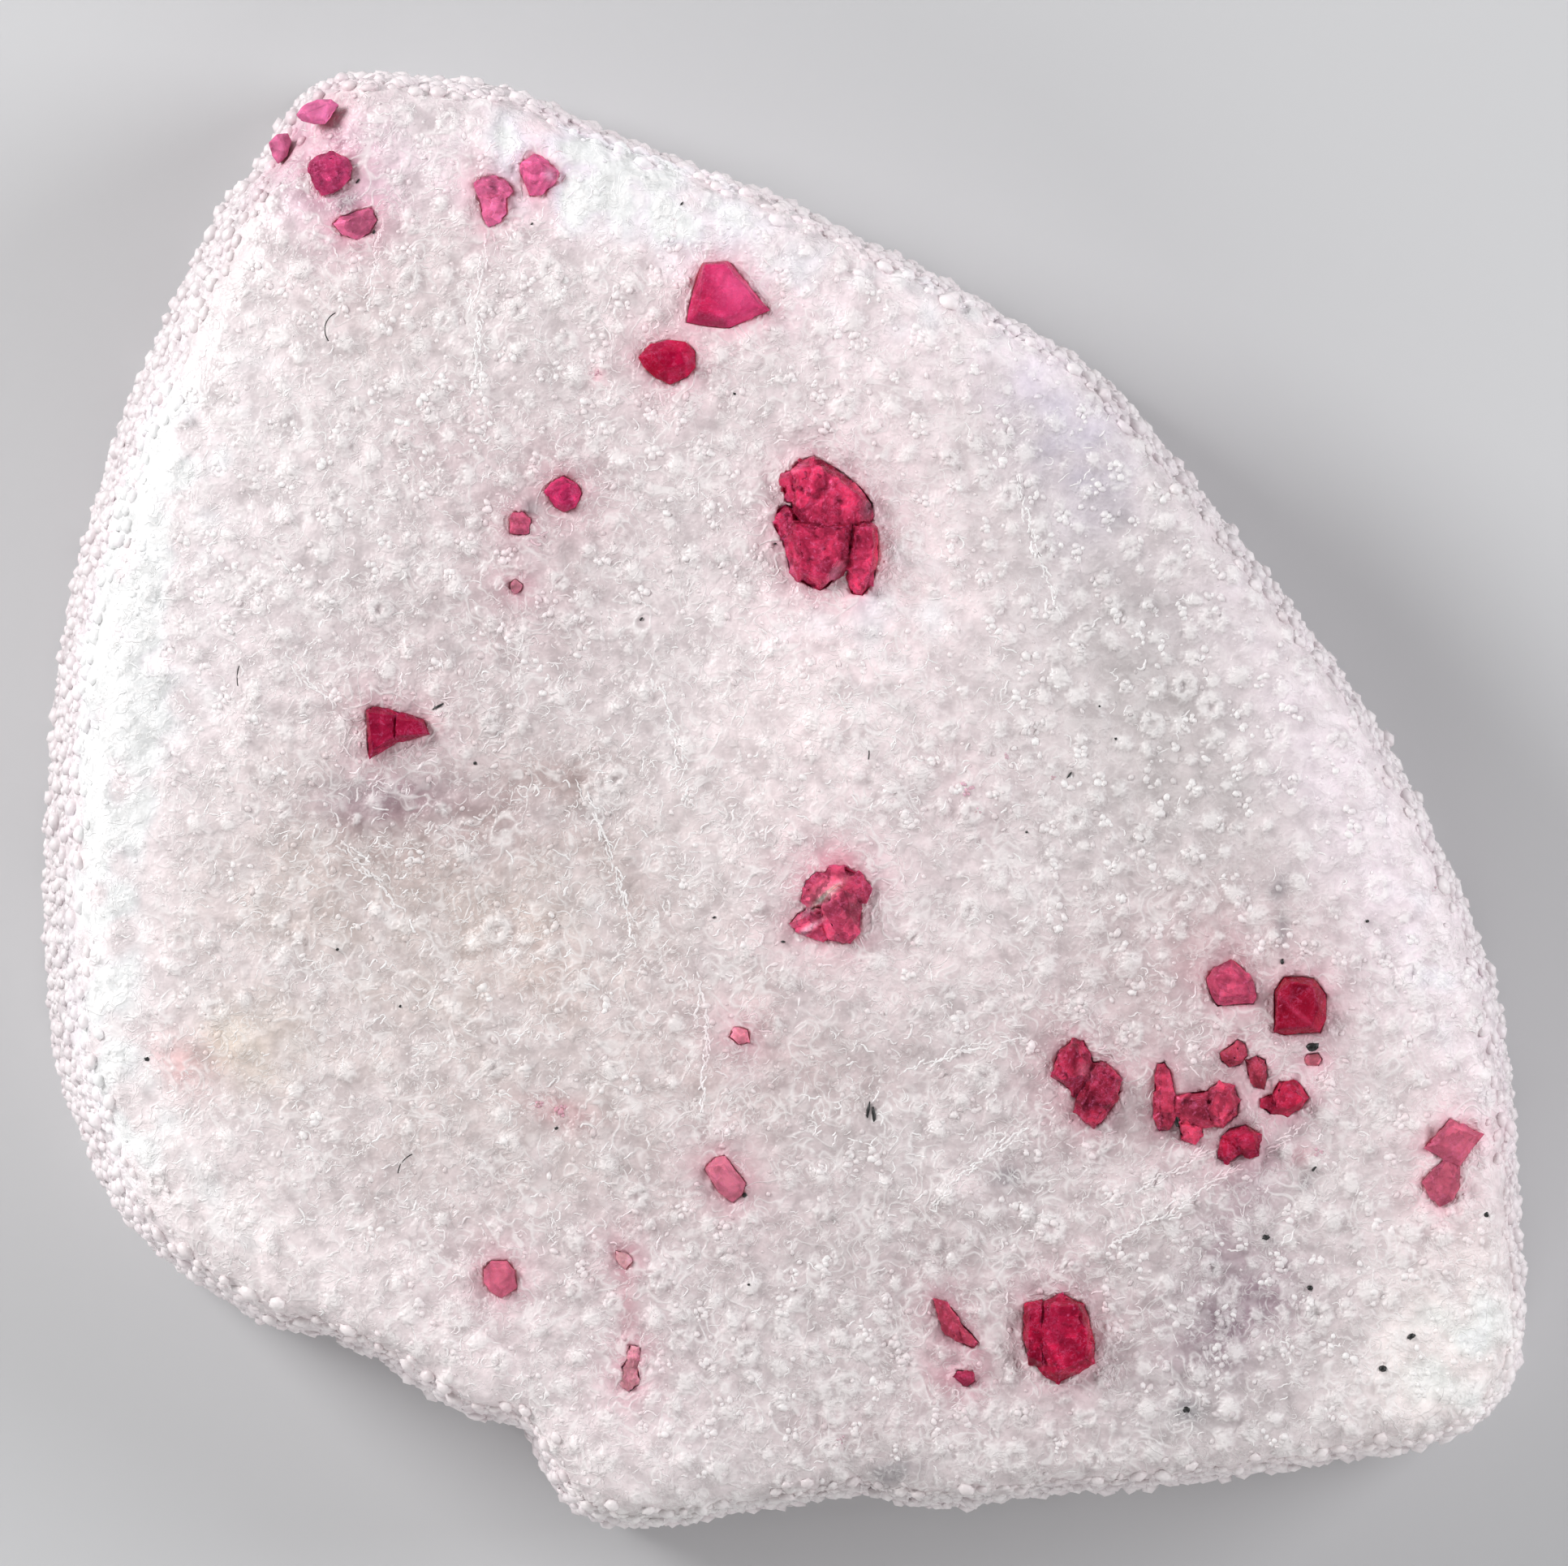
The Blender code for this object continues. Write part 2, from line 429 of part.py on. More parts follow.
def shape_slab(blank):
    """Turns the flat-topped blank into the worn slab: face relief, leaning rim, rough sides."""
    rim = Rim()
    mesh = blank.data
    for vertex in mesh.vertices:
        x, y, z = vertex.co / MM
        level = min(max(z / SLAB_THICKNESS, 0.0), 1.0)
        inset, outward = rim.nearest(x, y)
        near_rim = 1.0 - smoothstep(0.0, RIM_REACH, inset)
        lean = RIM_LEAN + (LEFT_RIM_LEAN - RIM_LEAN) * left_share(x, y)
        shift = FLARE - lean * level ** 2
        if z < BACK_EDGE_ROUND:
            fall = 1.0 - max(z, 0.0) / BACK_EDGE_ROUND
            shift -= BACK_EDGE_ROUND / 2 * fall ** 2
        shift += LUMP_HEIGHT * (noise.noise(Vector((x, y, z)) / KNOB_SIZE) - SIDE_LUMP_INSET)
        x += outward.x * shift * near_rim
        y += outward.y * shift * near_rim
        if z < MODEL_CELL / 2:
            z = -BACK_TRIM
        else:
            z = level * face_height(x, y, inset)
        vertex.co = Vector((x, y, z)) * MM
    mesh.update()


def make_marble(collection, material):
    blank = slab_blank(collection)
    shape_slab(blank)
    decimate = blank.modifiers.new("fewer_faces", "DECIMATE")
    decimate.ratio = KEPT_SHARE
    blank = replace_by_mesh(blank)
    mesh = bmesh.new()
    mesh.from_mesh(blank.data)
    cut = bmesh.ops.bisect_plane(mesh, geom=mesh.verts[:] + mesh.edges[:] + mesh.faces[:],
                                 plane_co=(0.0, 0.0, 0.0), plane_no=(0.0, 0.0, 1.0),
                                 clear_inner=True)
    rim_edges = [item for item in cut["geom_cut"] if isinstance(item, bmesh.types.BMEdge)]
    bmesh.ops.edgenet_fill(mesh, edges=rim_edges)
    for vertex in mesh.verts:
        if vertex.co.z < WELD_DISTANCE:
            vertex.co.z = 0.0
    bmesh.ops.recalc_face_normals(mesh, faces=mesh.faces)
    mesh.to_mesh(blank.data)
    mesh.free()
    blank.name = "marble"
    blank.data.name = "marble"
    blank.data.materials.append(material)
    return blank


# Crystals

def hull(points):
    """A convex body with flat faces on the given points."""
    mesh = bmesh.new()
    for point in points:
        mesh.verts.new(point)
    result = bmesh.ops.convex_hull(mesh, input=mesh.verts)
    spare = [item for item in result["geom_interior"] + result["geom_unused"]
             if isinstance(item, bmesh.types.BMVert)]
    bmesh.ops.delete(mesh, geom=list(set(spare)), context="VERTS")
    bmesh.ops.dissolve_limit(mesh, angle_limit=FLAT_ANGLE, verts=mesh.verts, edges=mesh.edges)
    bmesh.ops.triangulate(mesh, faces=mesh.faces)
    bmesh.ops.recalc_face_normals(mesh, faces=mesh.faces)
    return mesh


def lobe_points(outline, crown, face_z):
    """Corners of one crystal: crown above the face, waist at it and root in the marble."""
    centre = Vector((sum(x for x, y in outline), sum(y for x, y in outline))) / len(outline)
    size = min(max(axis) - min(axis) for axis in zip(*outline))
    root_z = face_z - ROOT_BASE_DEPTH - ROOT_DEPTH_PER_SIZE * size
    points = []
    for x, y in outline:
        root = centre + (Vector((x, y)) - centre) * ROOT_SHARE
        points.append(Vector((x, y, face_z + WAIST_RISE)) * MM)
        points.append(Vector((root.x, root.y, root_z)) * MM)
    for x, y, height in crown:
        corner = centre + (Vector((x, y)) - centre) * CROWN_SPREAD
        points.append(Vector((corner.x, corner.y, face_z + WAIST_RISE + CROWN_SHARE * height)) * MM)
    return points


def grown(mesh, gap):
    """The same body scaled from its middle until every face has moved out by the gap."""
    middle = sum((vertex.co for vertex in mesh.verts), Vector()) / len(mesh.verts)
    reach = min((face.calc_center_median() - middle).dot(face.normal) for face in mesh.faces)
    pocket = mesh.copy()
    factor = 1.0 + gap / reach
    bmesh.ops.transform(pocket, verts=pocket.verts,
                        matrix=Matrix.Translation(middle) @ Matrix.Diagonal((factor,) * 3).to_4x4()
                        @ Matrix.Translation(-middle))
    return pocket


def joined(name, bodies, collection, helpers):
    """One object from overlapping bodies, joined by Boolean unions."""
    objects = []
    for index, body in enumerate(bodies):
        data = bpy.data.meshes.new(name)
        body.to_mesh(data)
        body.free()
        home = collection if index == 0 else helpers
        objects.append(add_object(name if index == 0 else f"{name}_lobe_{index}", data, home))
    first = objects[0]
    for other in objects[1:]:
        union = first.modifiers.new("intergrown", "BOOLEAN")
        union.operation = "UNION"
        union.solver = "EXACT"
        union.object = other
    bpy.context.view_layer.update()
    if len(objects) > 1:
        first = replace_by_mesh(first)
    for other in objects[1:]:
        bpy.data.objects.remove(other)
    return first


def face_level(marble_tree, outline):
    """Height of the marble under an outline, measured so that a slope doesn't sink it."""
    drops = [marble_tree.ray_cast(Vector((x * MM, y * MM, 1.0)), Vector((0.0, 0.0, -1.0)))[0]
             for x, y in outline]
    heights = sorted(drop.z / MM for drop in drops if drop)
    return heights[int(LEVEL_RANK * (len(heights) - 1))]


def make_crystal(name, lobes, marble_tree, collection, pockets, helpers, material):
    bodies = []
    hollows = []
    for outline, crown in lobes:
        body = hull(lobe_points(outline, crown, face_level(marble_tree, outline)))
        bodies.append(body)
        hollows.append(grown(body, POCKET_GAP * MM))
    crystal = joined(name, bodies, collection, helpers)
    crystal.data.materials.append(material)
    pocket = joined(f"pocket_{name}", hollows, pockets, helpers)
    pocket.hide_render = True
    pocket.display_type = "WIRE"


def main():
    clear_scene()
    specimen = new_collection("spinel_in_marble")
    pockets = new_collection("pockets")
    helpers = new_collection("helpers")
    calcite = principled("white_marble", (0.80, 0.76, 0.77), 0.45)
    spinel = principled("red_spinel", (0.52, 0.03, 0.11), 0.18, transmission=0.3, ior=1.718)
    marble = make_marble(specimen, calcite)
    surface = bmesh.new()
    surface.from_mesh(marble.data)
    marble_tree = BVHTree.FromBMesh(surface)
    surface.free()
    for name, lobes in CRYSTALS.items():
        make_crystal(name, lobes, marble_tree, specimen, pockets, helpers, spinel)
    cut = marble.modifiers.new("crystal_pockets", "BOOLEAN")
    cut.operation = "DIFFERENCE"
    cut.solver = "EXACT"
    cut.operand_type = "COLLECTION"
    cut.collection = pockets
    bpy.data.collections.remove(helpers)


main()
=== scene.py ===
"""A slab of sugary white marble with red spinel crystals in its face, dressed around its solids."""

import json
from itertools import product
from math import cos, hypot, pi, radians, sin, sqrt

import bmesh
import bpy
import numpy as np
from mathutils import Matrix, Vector, noise
from mathutils.bvhtree import BVHTree
from mathutils.kdtree import KDTree

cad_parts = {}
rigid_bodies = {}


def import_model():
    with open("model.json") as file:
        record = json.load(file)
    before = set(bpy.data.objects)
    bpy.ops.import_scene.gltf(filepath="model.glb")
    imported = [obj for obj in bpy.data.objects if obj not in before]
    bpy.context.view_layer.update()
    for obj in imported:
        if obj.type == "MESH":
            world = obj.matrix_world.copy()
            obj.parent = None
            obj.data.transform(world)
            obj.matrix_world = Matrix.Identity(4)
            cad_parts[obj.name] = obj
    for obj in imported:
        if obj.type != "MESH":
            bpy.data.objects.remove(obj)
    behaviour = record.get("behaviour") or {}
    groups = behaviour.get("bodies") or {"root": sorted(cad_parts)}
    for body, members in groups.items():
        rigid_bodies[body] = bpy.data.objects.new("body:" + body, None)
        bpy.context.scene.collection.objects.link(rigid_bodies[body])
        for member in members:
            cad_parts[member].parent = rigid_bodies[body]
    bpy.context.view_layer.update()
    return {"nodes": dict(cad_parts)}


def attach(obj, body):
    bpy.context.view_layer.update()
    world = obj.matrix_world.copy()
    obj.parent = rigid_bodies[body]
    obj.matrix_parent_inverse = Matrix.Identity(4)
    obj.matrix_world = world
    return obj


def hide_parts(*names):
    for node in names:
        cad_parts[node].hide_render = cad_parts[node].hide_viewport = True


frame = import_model()

MM = 0.001

# Photograph: pixels to a millimetre at the face, and the pixel over the origin
PIXELS_PER_MM = 25.0
ORIGIN_PIXEL = (965.0, 985.0)
PHOTO_SIZE = (1932.0, 1929.0)

# Marble surface, in millimetres
BODY_CELL = 0.54
SMOOTH_STEPS = 8
FINE_STEPS = 3
PATCH_STEPS = 300
PATCH_REACH = 1.1
PLUG_GAP = 0.5
SEAT_GAP = 0.02
FACE_LOW = 9.0  # the face and its shoulder lie above this height
FINE_LOW = 9.5
BASE_SKIN = 0.05
LUMP_CELL = 0.95
LUMP_HEIGHT = 0.07
GRAIN_CELL = 0.55
GRAIN_HEIGHT = 0.04
WRINKLE_CELL = 0.8
WRINKLE_HEIGHT = 0.04
SWELL_CELL = 2.4
SWELL_HEIGHT = 0.14
RIM_LUMP_CELL = 1.25
RIM_LUMP_HEIGHT = 0.34
MOUND_REACH = 1.3

# Colours of the marble
WHITE = (1.0, 1.0, 1.0, 1.0)
MARBLE_COLOUR = (0.80, 0.706, 0.717)
FROST_COLOUR = (0.96, 0.935, 0.93)
# Painted light: a red glow in the marble round each crystal, as if light passed through the crystal
PAINTED_GLOW_TINT = (1.0, 0.45, 0.6)
PAINTED_GLOWS = ((0.5, 0.40), (1.8, 0.24))  # painted red glow round a crystal: reach (mm) and strength
# Painted shade: the lower sides, below SIDE_TOP, greyer and a little bluer
SIDE_PAINTED_SHADE = (0.97, 0.985, 1.0)
SIDE_TOP = 13.5
STAIN_DEPTH = 0.42
STAIN_SHARES = (1.0, 0.96, 0.92)
BRIGHTEST = 0.96
WANDER_CELL = 1.6

# Grains and ridges: how many places are tried, and how far apart those kept are (mm)
FACE_HALF = 36.0
HIGH_ABOVE = 40.0
DOWN = Vector((0.0, 0.0, -1.0))
SIDE_SLOPE = 0.12
SIDE_TRIES = 30000
SIDE_SPACING = 0.42
RIM_SPACING = 1.0
RIM_TRIES = 5000
RIM_REACH = 0.6
OUTLINE_SPACING = 0.8
OUTLINE_TRIES = 9000
MOUND_TRIES = 9000
MOUND_SPACING = 1.15
POPCORN_TRIES = 2200
POPCORN_SPACING = 1.25
SPECK_TRIES = 7000
SPECK_SPACING = 0.6
WORM_TRIES = 10000
WORM_SIDES = 4
WORM_STEP = 0.1
SEAM_PIECE = 0.55
SEAM_STEP = 0.11
SEAM_PLACES = 7
FREE_OF_CRYSTAL = 0.25
BEAD_CLEAR = 0.1
FLAKE_HEIGHT = 0.09
THREAD_RADIUS = 0.028
NO_CRYSTAL = 9.0  # a distance at which no crystal tints a grain

# Tints of the marble, with painted light and shade among them: x, y, half length, half width (mm),
# turn (degrees), colour factor
TINTS_AND_PAINTED_LIGHT = [
    # painted highlight: white rim at the left, top and right, lighter where it faces the lights;
    # the darker strip at the far left is painted shade
    (-33.4, 2, 23, 2.5, 87, (1.34, 1.36, 1.37)), (-30.4, 2, 24, 5, 87, (1.12, 1.13, 1.14)),
    (-36.6, -7, 9, 1.4, 90, (0.82, 0.84, 0.85)), (-28, 20, 10, 3.4, 68, (1.14, 1.15, 1.15)),
    (-30, -17.5, 8, 2.6, -52, (1.18, 1.19, 1.18)), (-22, 31, 4, 3, 0, (0.93, 0.9, 0.95)),
    (-11, 31, 6, 2.6, -12, (1.32, 1.3, 1.36)), (-2, 27.5, 12, 3, -27, (1.2, 1.18, 1.21)),
    (11, 22.5, 7, 1.8, -38, (1.26, 1.26, 1.27)), (14.5, 14, 4, 1.6, 80, (1.08, 1.08, 1.1)),
    (29, -2.5, 15, 3, -63, (1.16, 1.15, 1.21)), (33, -20, 9, 2.8, 92, (1.17, 1.18, 1.16)),
    (32, -28, 4, 3.2, 60, (1.22, 1.25, 1.21)), (-8, -32, 6, 2.6, -10, (1.12, 1.13, 1.13)),
    (-20, -24.5, 8, 2.4, -33, (1.14, 1.14, 1.14)),
    # raised pinkish white middle: partly its own pinkish white, partly painted light on the raised
    # ground
    (2, 3.2, 5.6, 5.6, 0, (1.18, 1.15, 1.15)), (4, 8.6, 6, 2.4, 0, (1.16, 1.13, 1.14)),
    (6, 18, 5, 6, 0, (1.09, 1.06, 1.07)), (4, -8.4, 5.6, 2.6, 10, (1.1, 1.08, 1.08)),
    (9.4, -19, 1.6, 1.6, 0, (1.22, 1.22, 1.22)), (21, -16.5, 8, 0.7, 32, (1.26, 1.24, 1.25)),
    (19, -19.5, 8, 0.6, 32, (1.22, 1.2, 1.21)),
    # grey and brown hollows: painted shade in the hollows, with lighter and darker patches of
    # painted light and shade between them
    (15.5, 12, 13, 4.4, -62, (0.86, 0.87, 0.87)), (14, 17.8, 4.6, 2.4, -55, (0.84, 0.86, 0.95)),
    (19, 2, 10, 5.4, -70, (0.8, 0.81, 0.8)), (-18, -4.6, 12, 7, 0, (0.86, 0.83, 0.78)),
    (-19.4, 0, 3.6, 1.3, 5, (0.74, 0.65, 0.72)), (-14.6, -1, 3.6, 2.2, 0, (0.86, 0.81, 0.83)),
    (-11.6, 1.2, 3.2, 1.2, 10, (0.78, 0.73, 0.72)), (-16, 8.5, 7, 5, 0, (0.89, 0.87, 0.87)),
    (-11, 14, 5, 6, 0, (0.91, 0.89, 0.89)), (-8, -3.6, 6.4, 1.5, -64, (0.86, 0.83, 0.83)),
    (-17.4, -2.4, 4.4, 2.2, 0, (0.89, 0.86, 0.86)), (-13, -16, 12, 6, 0, (0.88, 0.86, 0.84)),
    (-2, -12, 6, 5, 0, (0.94, 0.92, 0.91)), (-19.8, -18.6, 2, 1.2, 60, (0.9, 0.88, 0.88)),
    (-16.2, 17.8, 3.4, 2.6, 20, (0.92, 0.87, 0.88)), (-20, 24.6, 4, 4, 0, (0.97, 0.95, 0.94)),
    (-20.6, -1, 2.2, 5, 0, (0.89, 0.88, 0.89)), (-6, 29, 8, 3.4, -20, (1.13, 1.13, 1.13)),
    (-4.6, 22.4, 3, 3, 0, (1.12, 1.1, 1.1)), (6.4, 10.8, 3, 3, 0, (1.2, 1.17, 1.17)),
    (-28.6, 3.6, 3, 3.4, 80, (1.09, 1.09, 1.09)), (-12.6, -24.6, 2.4, 2.4, 0, (1.08, 1.08, 1.08)),
    (-0.6, -20.6, 2.2, 2.2, 0, (1.08, 1.08, 1.08)), (31.6, -4.6, 6, 2, -72, (1.08, 1.08, 1.08)),
    (-35.8, -10.5, 4.5, 1.6, 90, (0.88, 0.89, 0.9)), (8, -32.4, 12, 1.8, 3, (0.89, 0.89, 0.89)),
    (13.4, -0.6, 4, 2, 0, (0.93, 0.93, 0.93)), (19.4, 9.4, 2.6, 3, -60, (0.93, 0.93, 0.94)),
    (23.4, -28.6, 3.4, 2.4, 10, (0.8, 0.8, 0.8)), (19.4, -16.6, 2.4, 1.8, 30, (0.82, 0.81, 0.81)),
    (35.4, -26.6, 2, 5, 0, (1.12, 1.13, 1.12)), (28, -33, 5, 1.6, 12, (1.12, 1.13, 1.12)),
    (10, -23.5, 17, 8, 4, (0.78, 0.76, 0.76)), (17, -11, 9, 6, 0, (0.84, 0.8, 0.8)),
    (22.2, -25.2, 3.8, 2.6, 40, (0.66, 0.58, 0.64)),
    (21.6, -25.6, 1.8, 1.2, 20, (0.72, 0.66, 0.7)),
    (22.4, -20.4, 4.6, 1.5, 62, (0.8, 0.74, 0.78)), (19, -30, 3.4, 1.8, 0, (0.82, 0.84, 0.84)),
    (2.6, -31.2, 2.4, 1.5, 0, (0.84, 0.79, 0.8)), (3.2, -13.6, 4.6, 1.8, 10, (0.88, 0.85, 0.85)),
    (11.2, -18.2, 1.8, 1.8, 0, (0.84, 0.83, 0.84)), (9, 0.4, 3, 3, 0, (0.97, 0.92, 0.93)),
    # faint yellow and pink stains
    (-26.5, -12.2, 2.6, 2, 0, (0.99, 0.96, 0.83)), (-29.6, -13, 1.9, 1.3, -30, (1, 0.79, 0.8)),
    (-11, -15.4, 1.7, 0.8, -20, (0.98, 0.76, 0.79)), (-7.6, -25, 3.6, 0.5, 90, (0.95, 0.76, 0.8)),
    (-9.1, 20.9, 0.4, 0.4, 0, (0.98, 0.7, 0.76)), (-23.8, 32.5, 2.5, 1.6, 0, (1, 0.8, 0.88)),
    (-21.6, 30, 2.6, 3, 0, (1, 0.88, 0.94)), (21.4, -7.4, 4.6, 3.4, 0, (1, 0.92, 0.93)),
    (25.6, -17.6, 0.8, 0.5, 0, (0.98, 0.74, 0.78)), (-12, -8, 3.2, 2, -30, (0.99, 0.94, 0.92)),
    (2.4, -3.2, 2, 1.2, 0, (1, 0.74, 0.8)), (13.6, -15.2, 1, 0.9, 0, (1, 0.78, 0.83)),
    (8.6, -28, 1.6, 1.2, 0, (1, 0.8, 0.85)), (0, -35.4, 20, 1, 2, (0.88, 0.93, 0.91)),
]

# Grey graphite stains in the marble: x, y, half length, half width (mm), turn (degrees)
STAINS = [
    (24.4, -4.2, 0.5, 0.9, -20), (11, -18.6, 0.6, 0.5, 0), (25.4, -19.4, 1.4, 0.35, 58),
    (19.9, -30.1, 0.7, 0.5, 0), (5.2, -33.2, 1.6, 0.5, 10), (-21.4, 29.6, 0.5, 0.4, 30),
    (-12.4, 14.3, 0.4, 0.4, 0), (15.6, -15.6, 0.5, 0.3, 40), (24.6, -6.4, 0.3, 0.7, 0),
]

# Colour of each crystal, 01 to 31
CRYSTAL_COLOURS = [
    (0.82, 0.2, 0.41), (0.6, 0.16, 0.3), (0.4, 0.036, 0.115), (0.62, 0.14, 0.26),
    (0.82, 0.18, 0.36), (0.79, 0.15, 0.33), (0.57, 0.036, 0.135), (0.46, 0.005, 0.05),
    (0.55, 0.03, 0.125), (0.62, 0.12, 0.21), (0.54, 0.22, 0.27), (0.31, 0.007, 0.04),
    (0.52, 0.055, 0.12), (0.83, 0.28, 0.36), (0.6, 0.172, 0.245), (0.56, 0.128, 0.2),
    (0.94, 0.52, 0.56), (0.78, 0.34, 0.4), (0.58, 0.068, 0.125), (0.36, 0.026, 0.07),
    (0.38, 0.006, 0.036), (0.51, 0.108, 0.168), (0.32, 0.02, 0.05), (0.5, 0.046, 0.094),
    (0.36, 0.011, 0.042), (0.39, 0.044, 0.075), (0.51, 0.068, 0.136), (0.31, 0.006, 0.027),
    (0.58, 0.16, 0.2), (0.46, 0.02, 0.06), (0.5, 0.03, 0.088),
]
# How broken up the colour and facets are, and the crystals that differ from the usual
USUAL_BROKEN = 0.7
BROKEN = {"31": 1.0, "21": 0.75, "13": 0.9, "23": 1.0, "24": 0.9, "07": 0.35, "08": 0.25,
          "28": 0.35, "12": 0.5, "01": 0.4, "02": 0.4, "15": 0.4, "16": 0.4, "22": 0.5}
# Marks on the crystals, as in TINTS_AND_PAINTED_LIGHT
CRYSTAL_MARKS = [
    (2.6, 11.2, 0.6, 0.16, 50, (1.5, 8, 4)), (4.4, 10.4, 0.4, 1.2, 0, (1.15, 2, 1.6)),
    (-0.6, 16.4, 0.6, 0.5, 0, (0.7, 0.7, 0.8)), (4.4, 15, 0.5, 1.4, 20, (1.1, 2.4, 1.8)),
    (1.8, -5, 1.4, 0.13, 40, (1.5, 6, 3.6)), (1.2, -6.4, 0.7, 0.12, 35, (1.6, 8, 4.6)),
    (3.6, -5.4, 0.7, 0.5, 40, (1.15, 1.8, 1.4)), (-11.5, 30.8, 0.25, 0.3, 0, (1.3, 3, 2)),
    (14.9, -13.3, 0.4, 0.3, 40, (1.4, 5, 3)), (-4, 24.4, 0.8, 1.4, 0, (0.85, 0.5, 0.6)),
    (-2.2, 25.2, 1.4, 0.9, -40, (1.15, 2, 1.5)), (-6.6, 21.2, 1, 0.8, 0, (0.8, 0.4, 0.5)),
    (13.4, -26, 0.8, 1.4, 0, (1.1, 2, 1.5)), (11.8, -27.4, 0.7, 1.2, 20, (0.55, 0.4, 0.5)),
    (25.6, -10.7, 1.3, 0.1, -40, (1.5, 5, 3)), (24.6, -10.6, 0.5, 1.3, -20, (0.8, 0.6, 0.7)),
    (-6, 22.7, 1, 0.16, 10, (1.3, 4, 2)), (0.4, 13.4, 0.9, 1.6, 10, (0.75, 0.6, 0.7)),
    (4.2, 14.4, 0.5, 0.14, 70, (1.4, 5, 3)), (0.6, 16.2, 0.6, 0.12, 30, (1.3, 4, 2.6)),
    (0.2, 11.6, 0.6, 0.12, -50, (1.4, 5, 3)), (2, -4.6, 0.9, 0.5, 40, (1.3, 3, 2)),
]

# Where white mounds and curled ridges are most frequent: chance at the middle, form as in TINTS_AND_PAINTED_LIGHT
POPCORN_FORMS = [
    (0.95, (18, 4, 19, 9, -62)), (0.45, (-14, 20, 22, 12, 20)), (0.6, (2, -29, 30, 7, 5)),
    (0.6, (24, -25, 9, 8, 0)),
]
RIDGE_FORMS = [
    (1, (-18, -2, 30, 16, 80)), (0.8, (2, -2, 24, 10, 80)), (0.55, (18, -16, 12, 10, 0)),
]
SMOOTH_FORM = (18, 8, 16, 8, -58)  # the part of the face with few crinkles

# Black graphite flakes: x, y, half length, half width (mm), turn (degrees)
FLAKES = [
    (-17, 4.6, 0.34, 0.06, 28), (4.2, -15.3, 0.38, 0.09, 80), (4.46, -15.5, 0.4, 0.09, 95),
    (26.1, -12.2, 0.34, 0.24, 20), (-31.4, -12.8, 0.15, 0.12, 0), (23.8, -21.6, 0.2, 0.13, 15),
    (26, -24.1, 0.14, 0.12, 0), (31, -26.5, 0.2, 0.13, 30), (29.6, -28.1, 0.2, 0.16, 0),
    (19.9, -30.1, 0.16, 0.15, 0), (34.7, -20.5, 0.12, 0.17, 0), (-7, 8.9, 0.12, 0.06, 50),
    (14.1, 1.2, 0.22, 0.05, 50), (19.4, -15.8, 0.14, 0.36, 10), (24.6, -8, 0.1, 0.16, 0),
    (26.2, -18.2, 0.16, 0.07, 50), (-15.2, 1.8, 0.09, 0.08, 0), (-22, -7.4, 0.08, 0.08, 0),
    (-3.4, -5.8, 0.1, 0.05, 20), (0, -7, 0.1, 0.07, 0), (-5, 29.4, 0.11, 0.05, 50),
    (-0.4, 12.6, 0.08, 0.05, 0), (-18.9, -10.2, 0.08, 0.08, 0), (-1.7, -23.9, 0.08, 0.06, 0),
    (-2.4, 20, 0.07, 0.07, 0), (-15.9, -30.2, 0.08, 0.08, 0), (-11.2, -16.2, 0.1, 0.08, 0),
    (-1.9, -19.5, 0.13, 0.12, 0), (31.4, 2.4, 0.06, 0.06, 0), (28.8, -6, 0.1, 0.07, 20),
    (12, -1.6, 0.07, 0.06, 0), (16.4, 3, 0.07, 0.07, 0), (15.6, 4.6, 0.06, 0.06, 0),
    (-12.4, 28.4, 0.08, 0.05, 60), (-21, 30.5, 0.14, 0.05, 50), (-20.2, 28, 0.12, 0.06, 70),
]
# Dark threads in the surface: x, y, first heading (degrees), bend per mm (degrees), length (mm)
THREADS = [
    (-22.1, 24, 210, 62, 1.7), (-26.9, 5.6, 100, -30, 1.2), (-19, -18.4, 80, -50, 1.4),
    (4.2, 2, 80, 40, 0.5),
]
# Long raised seams of white crinkles: places along each (mm)
SEAMS = [
    [(-24.6, 7.2), (-23, 5.4), (-21.1, 3.5)],
    [(-10.1, 0.8), (-9.1, -1.3), (-8.1, -4), (-7.3, -6.9)],
    [(-21.9, -2.1), (-19.8, -4.2), (-18.2, -6.4)],
    [(-14.4, 29), (-14.8, 26.7), (-15.2, 24.7), (-15.1, 22.7), (-15.2, 20.1)],
    [(-19.7, 28.7), (-20.1, 26.4), (-20.6, 24.6)],
    [(17.4, -19.4), (20.4, -17.6), (24, -15.4), (27, -13.4)],
    [(16, -22), (19, -20.4), (22, -18.4), (25.4, -16.2)], [(7.4, -20), (9.2, -18), (11.6, -16.6)],
    [(6, -13.6), (8.6, -12.4), (11.4, -11.8)], [(-4.2, -9), (-3.8, -12), (-4, -15.2)],
    [(-6.4, 6), (-5.2, 3), (-4.6, 0)], [(11.6, 16), (12.4, 12.6), (13.4, 9.4)],
]
# Faint pink crystals just under the surface: x, y, radius (mm)
PINK_SPECKS = [
    (26.4, -17.4, 0.28), (9, 0.5, 0.34), (11, 2.1, 0.2), (13.3, 1.1, 0.16), (2.8, -31.6, 0.2),
    (-9.1, 21, 0.2), (-11, -15.2, 0.42), (-12, -15, 0.3), (32.2, -4.4, 0.14), (9.6, -0.6, 0.16),
]


# Helpers

def new_object(name, mesh):
    obj = bpy.data.objects.new(name, mesh)
    bpy.context.scene.collection.objects.link(obj)
    return obj


def evaluated_mesh(obj):
    graph = bpy.context.evaluated_depsgraph_get()
    return bpy.data.meshes.new_from_object(obj.evaluated_get(graph))


